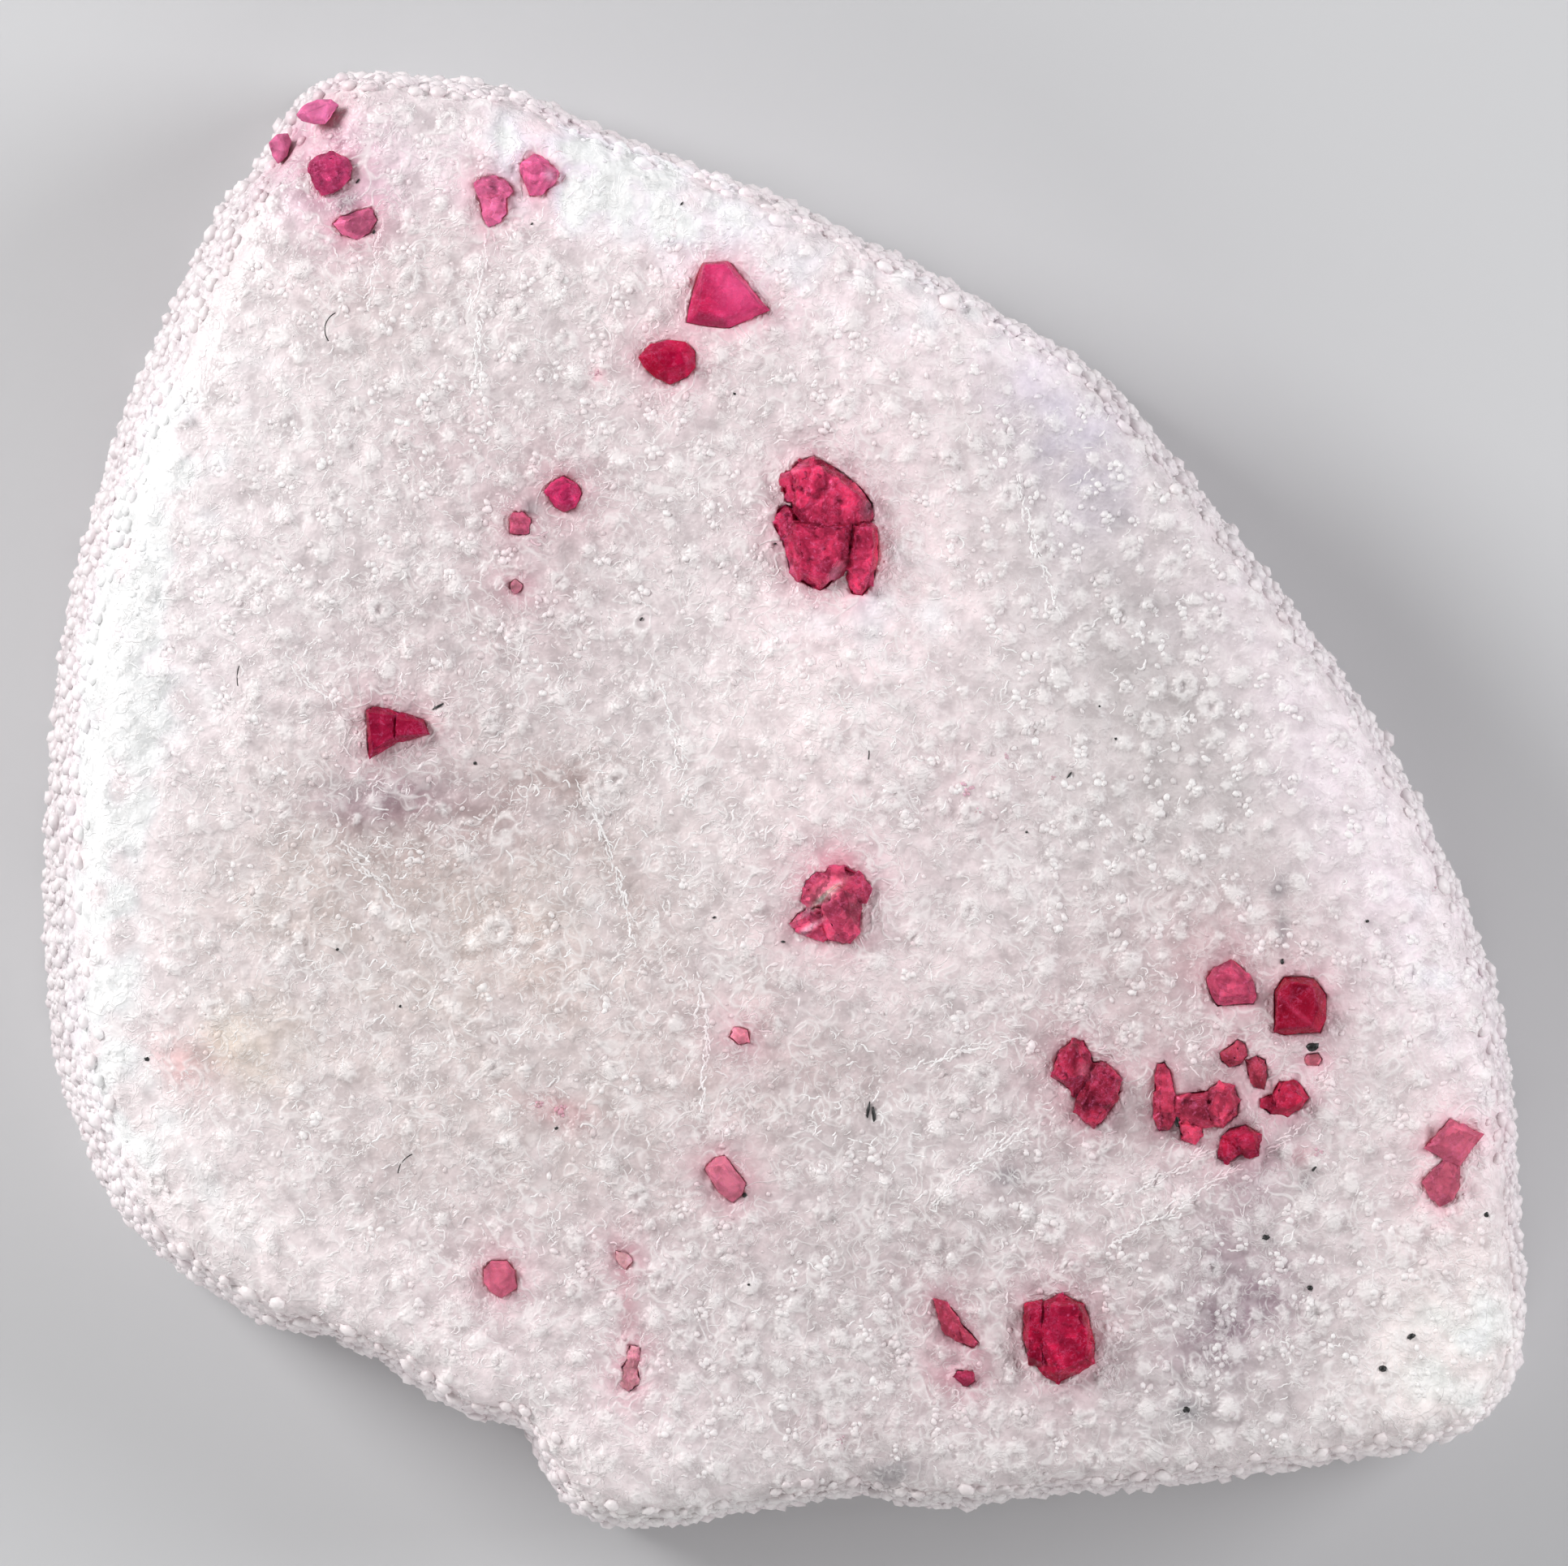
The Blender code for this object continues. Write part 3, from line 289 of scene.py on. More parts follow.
def read(items, name, kind=float, width=3):
    """One property of all of a mesh's items, a row each."""
    values = np.empty(len(items) * width, kind)
    items.foreach_get(name, values)
    return values.reshape(-1, width)


def coordinates(mesh):
    return read(mesh.vertices, "co")


def set_coordinates(mesh, values):
    mesh.vertices.foreach_set("co", np.ascontiguousarray(values).ravel())
    mesh.update()


def smoothstep(low, high, value):
    t = np.clip((value - low) / (high - low), 0.0, 1.0)
    return t * t * (3.0 - 2.0 * t)


def spot(x, y, form):
    """1 at the middle of an oval form (x, y, half length, half width, turn), and 0 far from it."""
    cx, cy, along, across, turn = form[:5]
    angle = radians(turn)
    u = (x - cx) * cos(angle) + (y - cy) * sin(angle)
    v = (y - cy) * cos(angle) - (x - cx) * sin(angle)
    return np.exp(-(u / along) ** 2 - (v / across) ** 2)


def welded(mesh):
    """A bmesh of the mesh with its split corners joined again."""
    body = bmesh.new()
    body.from_mesh(mesh)
    bmesh.ops.remove_doubles(body, verts=body.verts, dist=0.000001)
    return body


def distances_to_crystals(points):
    """Distance in millimetres from each point in metres to the nearest crystal."""
    return np.array([TREE.find_nearest(Vector(point))[3] for point in points]) / MM


def store_numbers(mesh, name, values):
    mesh.attributes.new(name, "FLOAT", "POINT").data.foreach_set("value", values)


def face_place(rng):
    """A chance place on or near the face, in millimetres."""
    return rng.uniform(-FACE_HALF, FACE_HALF), rng.uniform(-FACE_HALF, FACE_HALF)


def bead_sizes(rng, radius, *ranges):
    """Half sizes of a bead: its radius times a chance factor along each axis."""
    return radius * np.array([rng.uniform(low, high) for low, high in ranges])


class Spacing:
    """Keeps chance places at least a set distance apart."""

    def __init__(self, distance):
        self.distance = distance
        self.cells = {}

    def free(self, point):
        home = tuple(int(np.floor(c / self.distance)) for c in point)
        for step in product((-1, 0, 1), repeat=3):
            cell = tuple(a + b for a, b in zip(home, step))
            for other in self.cells.get(cell, ()):
                if (Vector(point) - other).length < self.distance:
                    return False
        self.cells.setdefault(home, []).append(Vector(point))
        return True


# Crystals of the frame, as one tree for distances

CRYSTALS = sorted(name for name in frame["nodes"] if name.startswith("spinel"))


def crystal_tree():
    everything = bmesh.new()
    for name in CRYSTALS:
        everything.from_mesh(frame["nodes"][name].data)
    bmesh.ops.remove_doubles(everything, verts=everything.verts, dist=0.000001)
    tree = BVHTree.FromBMesh(everything)
    everything.free()
    return tree


TREE = crystal_tree()


# Marble

def region_crinkle(points):
    """How much the surface is wrinkled: high at the left and in the middle, low at the right."""
    return np.clip(1.0 - 1.1 * spot(points[:, 0], points[:, 1], SMOOTH_FORM), 0.0, 1.0)


def grown_crystal(name, gap):
    """A bmesh of a crystal grown by the gap, in millimetres."""
    body = welded(frame["nodes"][name].data)
    body.normal_update()
    for vert in body.verts:
        vert.co += vert.normal * gap * MM
    return body


def closed_marble():
    """The marble with its pockets filled by grown crystals, as one mesh of overlapping bodies."""
    body = welded(frame["nodes"]["marble"].data)
    mesh = bpy.data.meshes.new("plug")
    for name in CRYSTALS:
        plug = grown_crystal(name, PLUG_GAP)
        plug.to_mesh(mesh)
        plug.free()
        body.from_mesh(mesh)
    body.to_mesh(mesh)
    body.free()
    return mesh


def smooth(mesh, steps, free):
    """Evens out the surface where it is free to move."""
    points = coordinates(mesh)
    a, b = read(mesh.edges, "vertices", int, 2).T
    count = np.bincount(np.concatenate([a, b]), minlength=len(points))[:, None]
    share = 0.5 * free[:, None]
    for _ in range(steps):
        total = np.zeros_like(points)
        for axis in range(3):
            total[:, axis] = (np.bincount(a, points[b, axis], len(points))
                              + np.bincount(b, points[a, axis], len(points)))
        points += share * (total / count - points)
    set_coordinates(mesh, points)


def fine_body():
    """The filled marble's surface on an even fine mesh, finest on the face."""
    holder = new_object("marble_holder", closed_marble())
    remesh = holder.modifiers.new("even_cells", "REMESH")
    remesh.mode = "VOXEL"
    remesh.voxel_size = BODY_CELL * MM
    even = evaluated_mesh(holder)
    bpy.data.objects.remove(holder)
    points = coordinates(even)
    near = distances_to_crystals(points)
    smooth(even, PATCH_STEPS, (near < PATCH_REACH) & (points[:, 2] > FACE_LOW * MM))
    smooth(even, SMOOTH_STEPS, points[:, 2] > BASE_SKIN * MM)
    body = bmesh.new()
    body.from_mesh(even)
    body.normal_update()
    upper = set()
    for face in body.faces:
        centre = face.calc_center_median() / MM
        if centre.z > FINE_LOW and face.normal.z > 0.25:
            upper.update(face.edges)
    bmesh.ops.subdivide_edges(body, edges=list(upper), cuts=1, use_grid_fill=True)
    body.to_mesh(even)
    body.free()
    smooth(even, FINE_STEPS, coordinates(even)[:, 2] > BASE_SKIN * MM)
    return even


def seats_cut(mesh):
    """The mesh with a close seat for every crystal, cut by slightly grown copies of them."""
    moulds = bpy.data.collections.new("moulds")
    for name in CRYSTALS:
        body = grown_crystal(name, SEAT_GAP)
        mould = bpy.data.meshes.new(name + "_mould")
        body.to_mesh(mould)
        body.free()
        moulds.objects.link(bpy.data.objects.new(name + "_mould", mould))
    bpy.context.scene.collection.children.link(moulds)
    holder = new_object("marble_holder", mesh)
    cut = holder.modifiers.new("seats", "BOOLEAN")
    cut.operation = "DIFFERENCE"
    cut.solver = "MANIFOLD"
    cut.operand_type = "COLLECTION"
    cut.collection = moulds
    done = evaluated_mesh(holder)
    bpy.data.objects.remove(holder)
    for obj in list(moulds.objects):
        bpy.data.objects.remove(obj)
    bpy.data.collections.remove(moulds)
    return done


def relief(point, crinkle, rim):
    """Height of the etched grain over the smooth surface, in millimetres."""
    place = Vector(point) / MM
    distances = noise.voronoi(place / LUMP_CELL)[0]
    lump = max(0.0, 1.0 - (distances[0] / 0.62) ** 2)
    edge = min(1.0, (distances[1] - distances[0]) * 3.0)
    height = LUMP_HEIGHT * (0.6 * lump + 0.4 * edge - 0.5)
    height += GRAIN_HEIGHT * noise.noise(place / GRAIN_CELL)
    wrinkle = abs(noise.noise(place / WRINKLE_CELL + Vector((7.0, 3.0, 1.0))))
    height += crinkle * WRINKLE_HEIGHT * (1.0 - wrinkle * 5.0)
    height += SWELL_HEIGHT * noise.noise(place / SWELL_CELL)
    if rim > 0.0:
        distances = noise.voronoi(place / RIM_LUMP_CELL)[0]
        lump = max(0.0, 1.0 - (distances[0] / 0.6) ** 2)
        height += rim * RIM_LUMP_HEIGHT * (lump - 0.45)
    return height


def chance(x, y, forms, least):
    """Chance of a grain at a place on the face, from forms with the chance at their middle."""
    return min(1.0, sum(middle * spot(x, y, form) for middle, form in forms) + least)


def mound_table():
    """Soft white mounds on the face: x, y, long and short radius, turn, height, ring or not."""
    rng = np.random.default_rng(18)
    spacing = Spacing(MOUND_SPACING)
    table = []
    for _ in range(MOUND_TRIES):
        x, y = face_place(rng)
        if rng.random() > chance(x, y, POPCORN_FORMS, 0.05) or not spacing.free((x, y, 0.0)):
            continue
        long = rng.uniform(0.34, 0.75)
        short = long * rng.uniform(0.6, 0.95)
        turn = radians(rng.normal(100.0, 35.0))
        table.append((x, y, long, short, turn, rng.uniform(0.08, 0.24), rng.random() < 0.2))
    return table


def mounds(points, table):
    """Height (mm) and whiteness that the mounds give to points in millimetres."""
    tree = KDTree(len(points))
    for index, point in enumerate(points):
        tree.insert((point[0], point[1], 0.0), index)
    tree.balance()
    height = np.zeros(len(points))
    white = np.zeros(len(points))
    for x, y, long, short, turn, rise, ring in table:
        found = [item[1] for item in tree.find_range((x, y, 0.0), MOUND_REACH)]
        if not found:
            continue
        dx, dy = points[found, 0] - x, points[found, 1] - y
        u = (dx * cos(turn) + dy * sin(turn)) / long
        v = (dy * cos(turn) - dx * sin(turn)) / short
        far = np.sqrt(u * u + v * v)
        shape = np.exp(-((far - 0.75) / 0.38) ** 2) if ring else np.exp(-(far / 0.85) ** 4)
        shape *= points[found, 2] > FACE_LOW
        height[found] = np.maximum(height[found], rise * shape)
        white[found] = np.maximum(white[found], min(1.0, 0.5 + 3.0 * rise) * shape)
    return height, white


def tones_and_painted_light(points, near, white):
    """Colour of the marble at points in millimetres.

    near is the distance to a crystal, and white how far a point is frosted over. The tints of the
    face, painted light and shade among them, fade down the sides. The lower sides get painted
    shade, and the marble round each crystal a painted red glow.
    """
    x, y, z = points.T
    tone = np.ones((len(points), 3))
    wander = np.array([noise.noise(Vector(p) / WANDER_CELL) for p in points])
    high = 0.15 + 0.85 * smoothstep(8.0, 12.0, z)
    for tint in TINTS_AND_PAINTED_LIGHT:
        share = np.clip(spot(x, y, tint) * (1.0 + 0.7 * wander), 0.0, 1.0) * high
        tone *= 1.0 - share[:, None] * (1.0 - np.array(tint[5]))
    for stain in STAINS:
        share = np.clip(spot(x, y, stain) * (1.0 + 2.2 * wander), 0.0, 1.0)
        tone *= 1.0 - STAIN_DEPTH * share[:, None] * np.array(STAIN_SHARES)
    tone *= 1.0 + 0.05 * wander[:, None]
    # painted shade: the lower sides greyer and bluer
    side_shade = 1.0 - smoothstep(SIDE_TOP - 3.0, SIDE_TOP, z)
    tone *= 1.0 - side_shade[:, None] * (1.0 - np.array(SIDE_PAINTED_SHADE))
    tone *= np.array(MARBLE_COLOUR)
    tone += (np.array(FROST_COLOUR) - tone) * white[:, None]
    # painted light: the red glow round the crystals
    painted_glow = sum(np.exp(-near / reach) * strength for reach, strength in PAINTED_GLOWS)
    tone *= 1.0 - np.minimum(painted_glow, 0.8)[:, None] * (1.0 - np.array(PAINTED_GLOW_TINT))
    return np.concatenate([np.clip(tone, 0.0, BRIGHTEST), np.ones((len(points), 1))], 1)


def store_tones(mesh, values):
    layer = mesh.color_attributes.new("tone", "FLOAT_COLOR", "POINT")
    layer.data.foreach_set("color", values.ravel())


def make_marble(material):
    """The etched marble with a seat for every crystal. Returns the ground that grains stand on."""
    mesh = fine_body()
    points = coordinates(mesh)
    outward = read(mesh.vertex_normals, "vector")
    crinkles = region_crinkle(points / MM)
    rims = smoothstep(0.55, 0.95, 1.0 - outward[:, 2]) * smoothstep(0.2, 2.0, points[:, 2] / MM)
    heights = np.array([relief(*each) for each in zip(points, crinkles, rims)])
    table = mound_table()
    heights += mounds(points / MM, table)[0]
    points = points + outward * heights[:, None] * MM
    points[:, 2] = np.maximum(points[:, 2], 0.0)
    set_coordinates(mesh, points)
    ground = Ground(mesh)
    mesh = seats_cut(mesh)
    points = coordinates(mesh)
    near = distances_to_crystals(points)
    store_tones(mesh, tones_and_painted_light(points / MM, near, np.zeros(len(points))))
    store_numbers(mesh, "frost", mounds(points / MM, table)[1] * smoothstep(0.2, 1.2, near))
    store_numbers(mesh, "wrinkled", region_crinkle(points / MM))
    mesh.shade_smooth()
    obj = new_object("marble_surface", mesh)
    mesh.materials.clear()
    mesh.materials.append(material)
    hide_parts("marble")
    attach(obj, "root")
    return ground


# Grains and ridges on the marble

class Ground:
    """The finished marble surface, to set small grains on."""

    def __init__(self, mesh):
        body = bmesh.new()
        body.from_mesh(mesh)
        bmesh.ops.triangulate(body, faces=body.faces)
        self.tree = BVHTree.FromBMesh(body)
        body.faces.ensure_lookup_table()
        self.centres = np.array([f.calc_center_median() for f in body.faces]) / MM
        self.normals = np.array([f.normal for f in body.faces])
        self.areas = np.array([f.calc_area() for f in body.faces]) / MM ** 2
        body.free()

    def under(self, x, y):
        """The face's point and normal below a place given in millimetres, or None."""
        hit = self.tree.ray_cast(Vector((x, y, HIGH_ABOVE)) * MM, DOWN)
        if hit[0] is None or hit[0].z < 8.0 * MM:
            return None
        return hit[0] / MM, hit[1]


def crystal_distance(point):
    """Distance in millimetres from a point in millimetres to the nearest crystal."""
    return TREE.find_nearest(Vector(point) * MM)[3] / MM


def ball(steps):
    """Points and triangles of a unit ball."""
    body = bmesh.new()
    bmesh.ops.create_icosphere(body, subdivisions=steps, radius=1.0)
    points = np.array([v.co for v in body.verts])
    faces = np.array([[v.index for v in f.verts] for f in body.faces])
    body.free()
    return points, faces


SMALL_BALL = ball(1)
FINE_BALL = ball(2)


def turn_to(normal, rng):
    """A rotation that stands a form on the surface, turned by chance about its normal."""
    lean = Vector(normal).to_track_quat("Z", "Y").to_matrix()
    return np.array(lean @ Matrix.Rotation(rng.uniform(0.0, 2.0 * pi), 3, "Z"))


class Heap:
    """Many small closed forms gathered in one mesh."""

    def __init__(self, name):
        self.name = name
        self.points = []
        self.faces = []
        self.near = []
        self.white = []
        self.count = 0

    def add(self, points, faces, near, white):
        self.points.append(points)
        self.faces.append(faces + self.count)
        self.near.append(np.full(len(points), near))
        self.white.append(np.full(len(points), white))
        self.count += len(points)

    def bead(self, centre, normal, sizes, white, rng, near=None):
        """A lumpy bead standing in the surface."""
        points, faces = SMALL_BALL
        lumps = 1.0 + rng.uniform(-0.14, 0.14, (len(points), 1))
        placed = (points * lumps * np.array(sizes)) @ turn_to(normal, rng).T + np.array(centre)
        self.add(placed, faces, crystal_distance(centre) if near is None else near, white)

    def finish(self, material):
        points = np.concatenate(self.points)
        points[:, 2] = np.maximum(points[:, 2], 0.0)
        faces = np.concatenate(self.faces)
        mesh = bpy.data.meshes.new(self.name)
        mesh.from_pydata((points * MM).tolist(), [], faces.tolist())
        store_tones(mesh, tones_and_painted_light(points, np.concatenate(self.near), np.concatenate(self.white)))
        mesh.shade_smooth()
        mesh.materials.append(material)
        obj = new_object(self.name, mesh)
        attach(obj, "root")


def picked(ground, where, tries, rng):
    """Chance triangles of the ground where the condition holds, large ones more often."""
    found = np.where(where)[0]
    return rng.choice(found, tries, p=ground.areas[found] / ground.areas[found].sum())


def wall_places(ground, rng, where, tries, distance, radii, shares):
    """Places for beads on a wall, each with its normal, radius and half sizes (mm)."""
    spacing = Spacing(distance)
    for pick in picked(ground, where, tries, rng):
        centre = ground.centres[pick]
        if not spacing.free(centre):
            continue
        radius = rng.uniform(*radii)
        if crystal_distance(centre) < radius + BEAD_CLEAR:
            continue
        yield centre, ground.normals[pick], radius, bead_sizes(rng, radius, *shares)


def side_grains(ground, material):
    """Sugary beads all round the broken sides."""
    rng = np.random.default_rng(11)
    steep = (ground.normals[:, 2] < SIDE_SLOPE) & (ground.centres[:, 2] > 0.4)
    heaps = [Heap("side_grains_a"), Heap("side_grains_b")]
    places = wall_places(ground, rng, steep, SIDE_TRIES, SIDE_SPACING, (0.18, 0.32),
                         ((0.9, 1.3), (0.8, 1.1), (0.6, 0.95)))
    for centre, normal, radius, sizes in places:
        heap = heaps[0 if centre[1] > 0.0 else 1]
        heap.bead(centre - normal * radius * 0.2, normal, sizes, rng.uniform(0.0, 0.4), rng)
    for heap in heaps:
        heap.finish(material)


def by_outline(ground, point):
    """Whether a point in millimetres is close to the outline, seen from above."""
    x, y = point[0], point[1]
    out = 1.0 + RIM_REACH / max(1.0, hypot(x, y))
    return ground.under(x * out, y * out) is None


def outline_grains(ground, material):
    """Rounded beads side by side along the widest belt, which scallop the outline."""
    rng = np.random.default_rng(19)
    belt = (np.abs(ground.normals[:, 2]) < 0.4) & (ground.centres[:, 2] > 3.0)
    heap = Heap("outline_grains")
    places = wall_places(ground, rng, belt, OUTLINE_TRIES, OUTLINE_SPACING, (0.28, 0.52),
                         ((0.85, 1.2), (0.8, 1.1), (0.6, 0.85)))
    for centre, normal, radius, sizes in places:
        heap.bead(centre + normal * radius * 0.1, normal, sizes, rng.uniform(0.1, 0.5), rng)
    heap.finish(material)


def rim_clusters(ground, material):
    """Bunches of beads at the outline of the upper rim."""
    rng = np.random.default_rng(12)
    slopes = ground.normals[:, 2]
    rim = (slopes < 0.4) & (slopes > -0.1) & (ground.centres[:, 2] > 5.0)
    spacing = Spacing(RIM_SPACING)
    heap = Heap("rim_clusters")
    for pick in picked(ground, rim, RIM_TRIES, rng):
        centre = ground.centres[pick]
        if not by_outline(ground, centre) or crystal_distance(centre) < 0.9:
            continue
        if not spacing.free(centre):
            continue
        frame_turn = turn_to(ground.normals[pick], rng)
        size = rng.uniform(0.3, 0.7)
        for _ in range(rng.integers(2, 5)):
            offset = np.array((rng.normal(0.0, size), rng.normal(0.0, size * 0.6), 0.0))
            radius = rng.uniform(0.16, 0.36)
            place = centre + frame_turn @ offset
            found, facing = ground.tree.find_nearest(Vector(place) * MM)[:2]
            place = np.array(found) / MM
            if crystal_distance(place) < radius + BEAD_CLEAR:
                continue
            sizes = bead_sizes(rng, radius, (0.9, 1.4), (0.8, 1.1), (0.4, 0.65))
            heap.bead(place, facing, sizes, rng.uniform(0.1, 0.5), rng)
    heap.finish(material)


def popcorn(ground, material):
    """White clusters of beads on the face, some of them rings."""
    rng = np.random.default_rng(13)
    spacing = Spacing(POPCORN_SPACING)
    heap = Heap("popcorn_clusters")
    for _ in range(POPCORN_TRIES):
        x, y = face_place(rng)
        if rng.random() > chance(x, y, POPCORN_FORMS, 0.05):
            continue
        below = ground.under(x, y)
        if below is None or below[1].z < 0.8 or crystal_distance(below[0]) < 1.0:
            continue
        if not spacing.free(below[0]):
            continue
        long, short = rng.uniform(0.3, 0.8), rng.uniform(0.2, 0.45)
        turn = radians(rng.normal(100.0, 35.0))
        ring = rng.random() < 0.25
        for _ in range(rng.integers(4, 10)):
            angle = rng.uniform(0.0, 2.0 * pi)
            reach = 1.0 if ring else sqrt(rng.random())
            u, v = reach * long * cos(angle), reach * short * sin(angle)
            place = ground.under(x + u * cos(turn) - v * sin(turn),
                                 y + u * sin(turn) + v * cos(turn))
            if place is None:
                continue
            radius = rng.uniform(0.09, 0.22)
            sizes = bead_sizes(rng, radius, (0.9, 1.5), (0.8, 1.1), (0.25, 0.42))
            heap.bead(*place, sizes, rng.uniform(0.4, 0.9), rng)
    heap.finish(material)


def specks(ground, material):
    """Fine single grains sprinkled over the whole face."""
    rng = np.random.default_rng(14)
    spacing = Spacing(SPECK_SPACING)
    heap = Heap("face_grains")
    for _ in range(SPECK_TRIES):
        below = ground.under(*face_place(rng))
        if below is None or crystal_distance(below[0]) < 0.35 or not spacing.free(below[0]):
            continue
        radius = 0.07 + 0.12 * rng.random() ** 2
        sizes = bead_sizes(rng, radius, (0.8, 1.6), (0.7, 1.1), (0.25, 0.5))
        heap.bead(*below, sizes, rng.uniform(0.1, 0.6), rng)
    heap.finish(material)


def tube(line, radii):
    """Points and triangles of a closed tube along places on the face, each with its normal."""
    points = []
    for index, (place, normal) in enumerate(line):
        ahead = line[min(index + 1, len(line) - 1)][0] - line[max(index - 1, 0)][0]
        across = normal.cross(ahead.normalized()).normalized()
        for corner in range(WORM_SIDES):
            angle = 2.0 * pi * corner / WORM_SIDES
            offset = across * cos(angle) + normal * (sin(angle) * 0.55 + 0.1)
            points.append(place + offset * radii[index])
    first = len(points)
    points.append(line[0][0] - (line[1][0] - line[0][0]) * 0.4)
    points.append(line[-1][0] + (line[-1][0] - line[-2][0]) * 0.4)
    faces = []
    for ring in range(len(line) - 1):
        for corner in range(WORM_SIDES):
            a = ring * WORM_SIDES + corner
            b = ring * WORM_SIDES + (corner + 1) % WORM_SIDES
            faces += [(a, b, a + WORM_SIDES), (b, b + WORM_SIDES, a + WORM_SIDES)]
    last = (len(line) - 1) * WORM_SIDES
    for corner in range(WORM_SIDES):
        after = (corner + 1) % WORM_SIDES
        faces += [(first, after, corner), (first + 1, last + corner, last + after)]
    return np.array(points), np.array(faces)


def worm(ground, x, y, rng, width):
    """A curled ridge lying on the face: points and triangles of a tapered tube, or None."""
    heading = radians(rng.normal(20.0, 38.0))
    bend = rng.normal(0.0, 2.0)
    line = []
    for _ in range(rng.integers(4, 10)):
        below = ground.under(x, y)
        if below is None or crystal_distance(below[0]) < FREE_OF_CRYSTAL:
            break
        line.append(below)
        x += WORM_STEP * cos(heading)
        y += WORM_STEP * sin(heading)
        heading += bend * WORM_STEP + rng.normal(0.0, 0.45)
        if rng.random() < 0.15:
            bend = -bend * rng.uniform(0.6, 2.2)
    if len(line) < 4:
        return None
    shares = [index / (len(line) - 1) for index in range(len(line))]
    tapers = [0.35 + 0.65 * sin(pi * (0.08 + 0.84 * share)) ** 0.6 for share in shares]
    return tube(line, [width * taper * rng.uniform(0.8, 1.15) for taper in tapers])


def seam(ground, line, rng):
    """A broken crinkled ridge that follows a line of places: a list of tubes."""
    tubes = []
    for (ax, ay), (bx, by) in zip(line, line[1:]):
        length = hypot(bx - ax, by - ay)
        across = ((ay - by) / length, (bx - ax) / length)
        for start in np.arange(0.0, length, SEAM_PIECE):
            run = []
            sway = rng.normal(0.0, 0.12)
            for step in range(SEAM_PLACES):
                share = (start + SEAM_STEP * step) / length
                sway += rng.normal(0.0, 0.05)
                below = ground.under(ax + (bx - ax) * share + across[0] * sway,
                                     ay + (by - ay) * share + across[1] * sway)
                if below is not None and crystal_distance(below[0]) > FREE_OF_CRYSTAL:
                    run.append(below)
            if len(run) == SEAM_PLACES and rng.random() < 0.8:
                tubes.append(tube(run, [rng.uniform(0.03, 0.075) for _ in run]))
    return tubes


def worms(ground, material):
    """Fine curled ridges left by the etching, in patches, and the long seams, their white partly
    painted highlight.
    """
    rng = np.random.default_rng(15)
    heap = Heap("etched_ridges")
    for _ in range(WORM_TRIES):
        x, y = face_place(rng)
        patch = smoothstep(-0.12, 0.12, noise.noise(Vector((x, y, 5.0)) / 2.2))
        if rng.random() > chance(x, y, RIDGE_FORMS, 0.08) * (0.25 + 0.75 * patch):
            continue
        shape = worm(ground, x, y, rng, 0.024 + 0.04 * rng.random() ** 1.5)
        if shape is not None:
            # white share: the ridges' own white, with painted highlight on top
            heap.add(*shape, crystal_distance(shape[0][0]), rng.uniform(0.6, 1.0))
    for line in SEAMS:
        for _ in range(2):
            for points, faces in seam(ground, line, rng):
                heap.add(points, faces, crystal_distance(points[0]), rng.uniform(0.7, 1.0))
    heap.finish(material)


def flakes(ground, material):
    """Black graphite flakes on the marble or on a crystal, and threads on the marble."""
    rng = np.random.default_rng(16)
    heap = Heap("graphite_flakes")
    for x, y, along, across, turn in FLAKES:
        below = ground.under(x, y)
        if below is None:
            continue
        place = below[0]
        over = TREE.ray_cast(Vector((x, y, HIGH_ABOVE)) * MM, DOWN)[0]
        if over is not None and over.z / MM > place.z:
            place = over / MM
        points, faces = FINE_BALL
        flat = np.array(Matrix.Rotation(radians(turn), 3, "Z"))
        lumps = 1.0 + rng.uniform(-0.25, 0.25, (len(points), 1))
        shaped = points * lumps * (along, across, FLAKE_HEIGHT)
        heap.add(shaped @ flat.T + np.array(place), faces, NO_CRYSTAL, 0.0)
    for x, y, heading, bend, length in THREADS:
        line = []
        heading = radians(heading)
        for _ in range(int(length / WORM_STEP)):
            below = ground.under(x, y)
            if below is not None:
                line.append(below)
            x += WORM_STEP * cos(heading)
            y += WORM_STEP * sin(heading)
            heading += radians(bend) * WORM_STEP
        heap.add(*tube(line, [THREAD_RADIUS] * len(line)), NO_CRYSTAL, 0.0)
    heap.finish(material)


def pink_specks(ground, material):
    """Tiny crystals that only just show in the face."""
    rng = np.random.default_rng(17)
    heap = Heap("pink_specks")
    for x, y, radius in PINK_SPECKS:
        for _ in range(5):
            below = ground.under(x + rng.normal(0.0, radius * 0.5),
                                 y + rng.normal(0.0, radius * 0.5))
            if below is None:
                continue
            sizes = radius * np.array((rng.uniform(0.3, 0.6), rng.uniform(0.2, 0.4), 0.2))
            # near=0.1 gives these specks the painted glow's pink as their colour
            heap.bead(*below, sizes, 0.3, rng, near=0.1)
    heap.finish(material)


# Materials

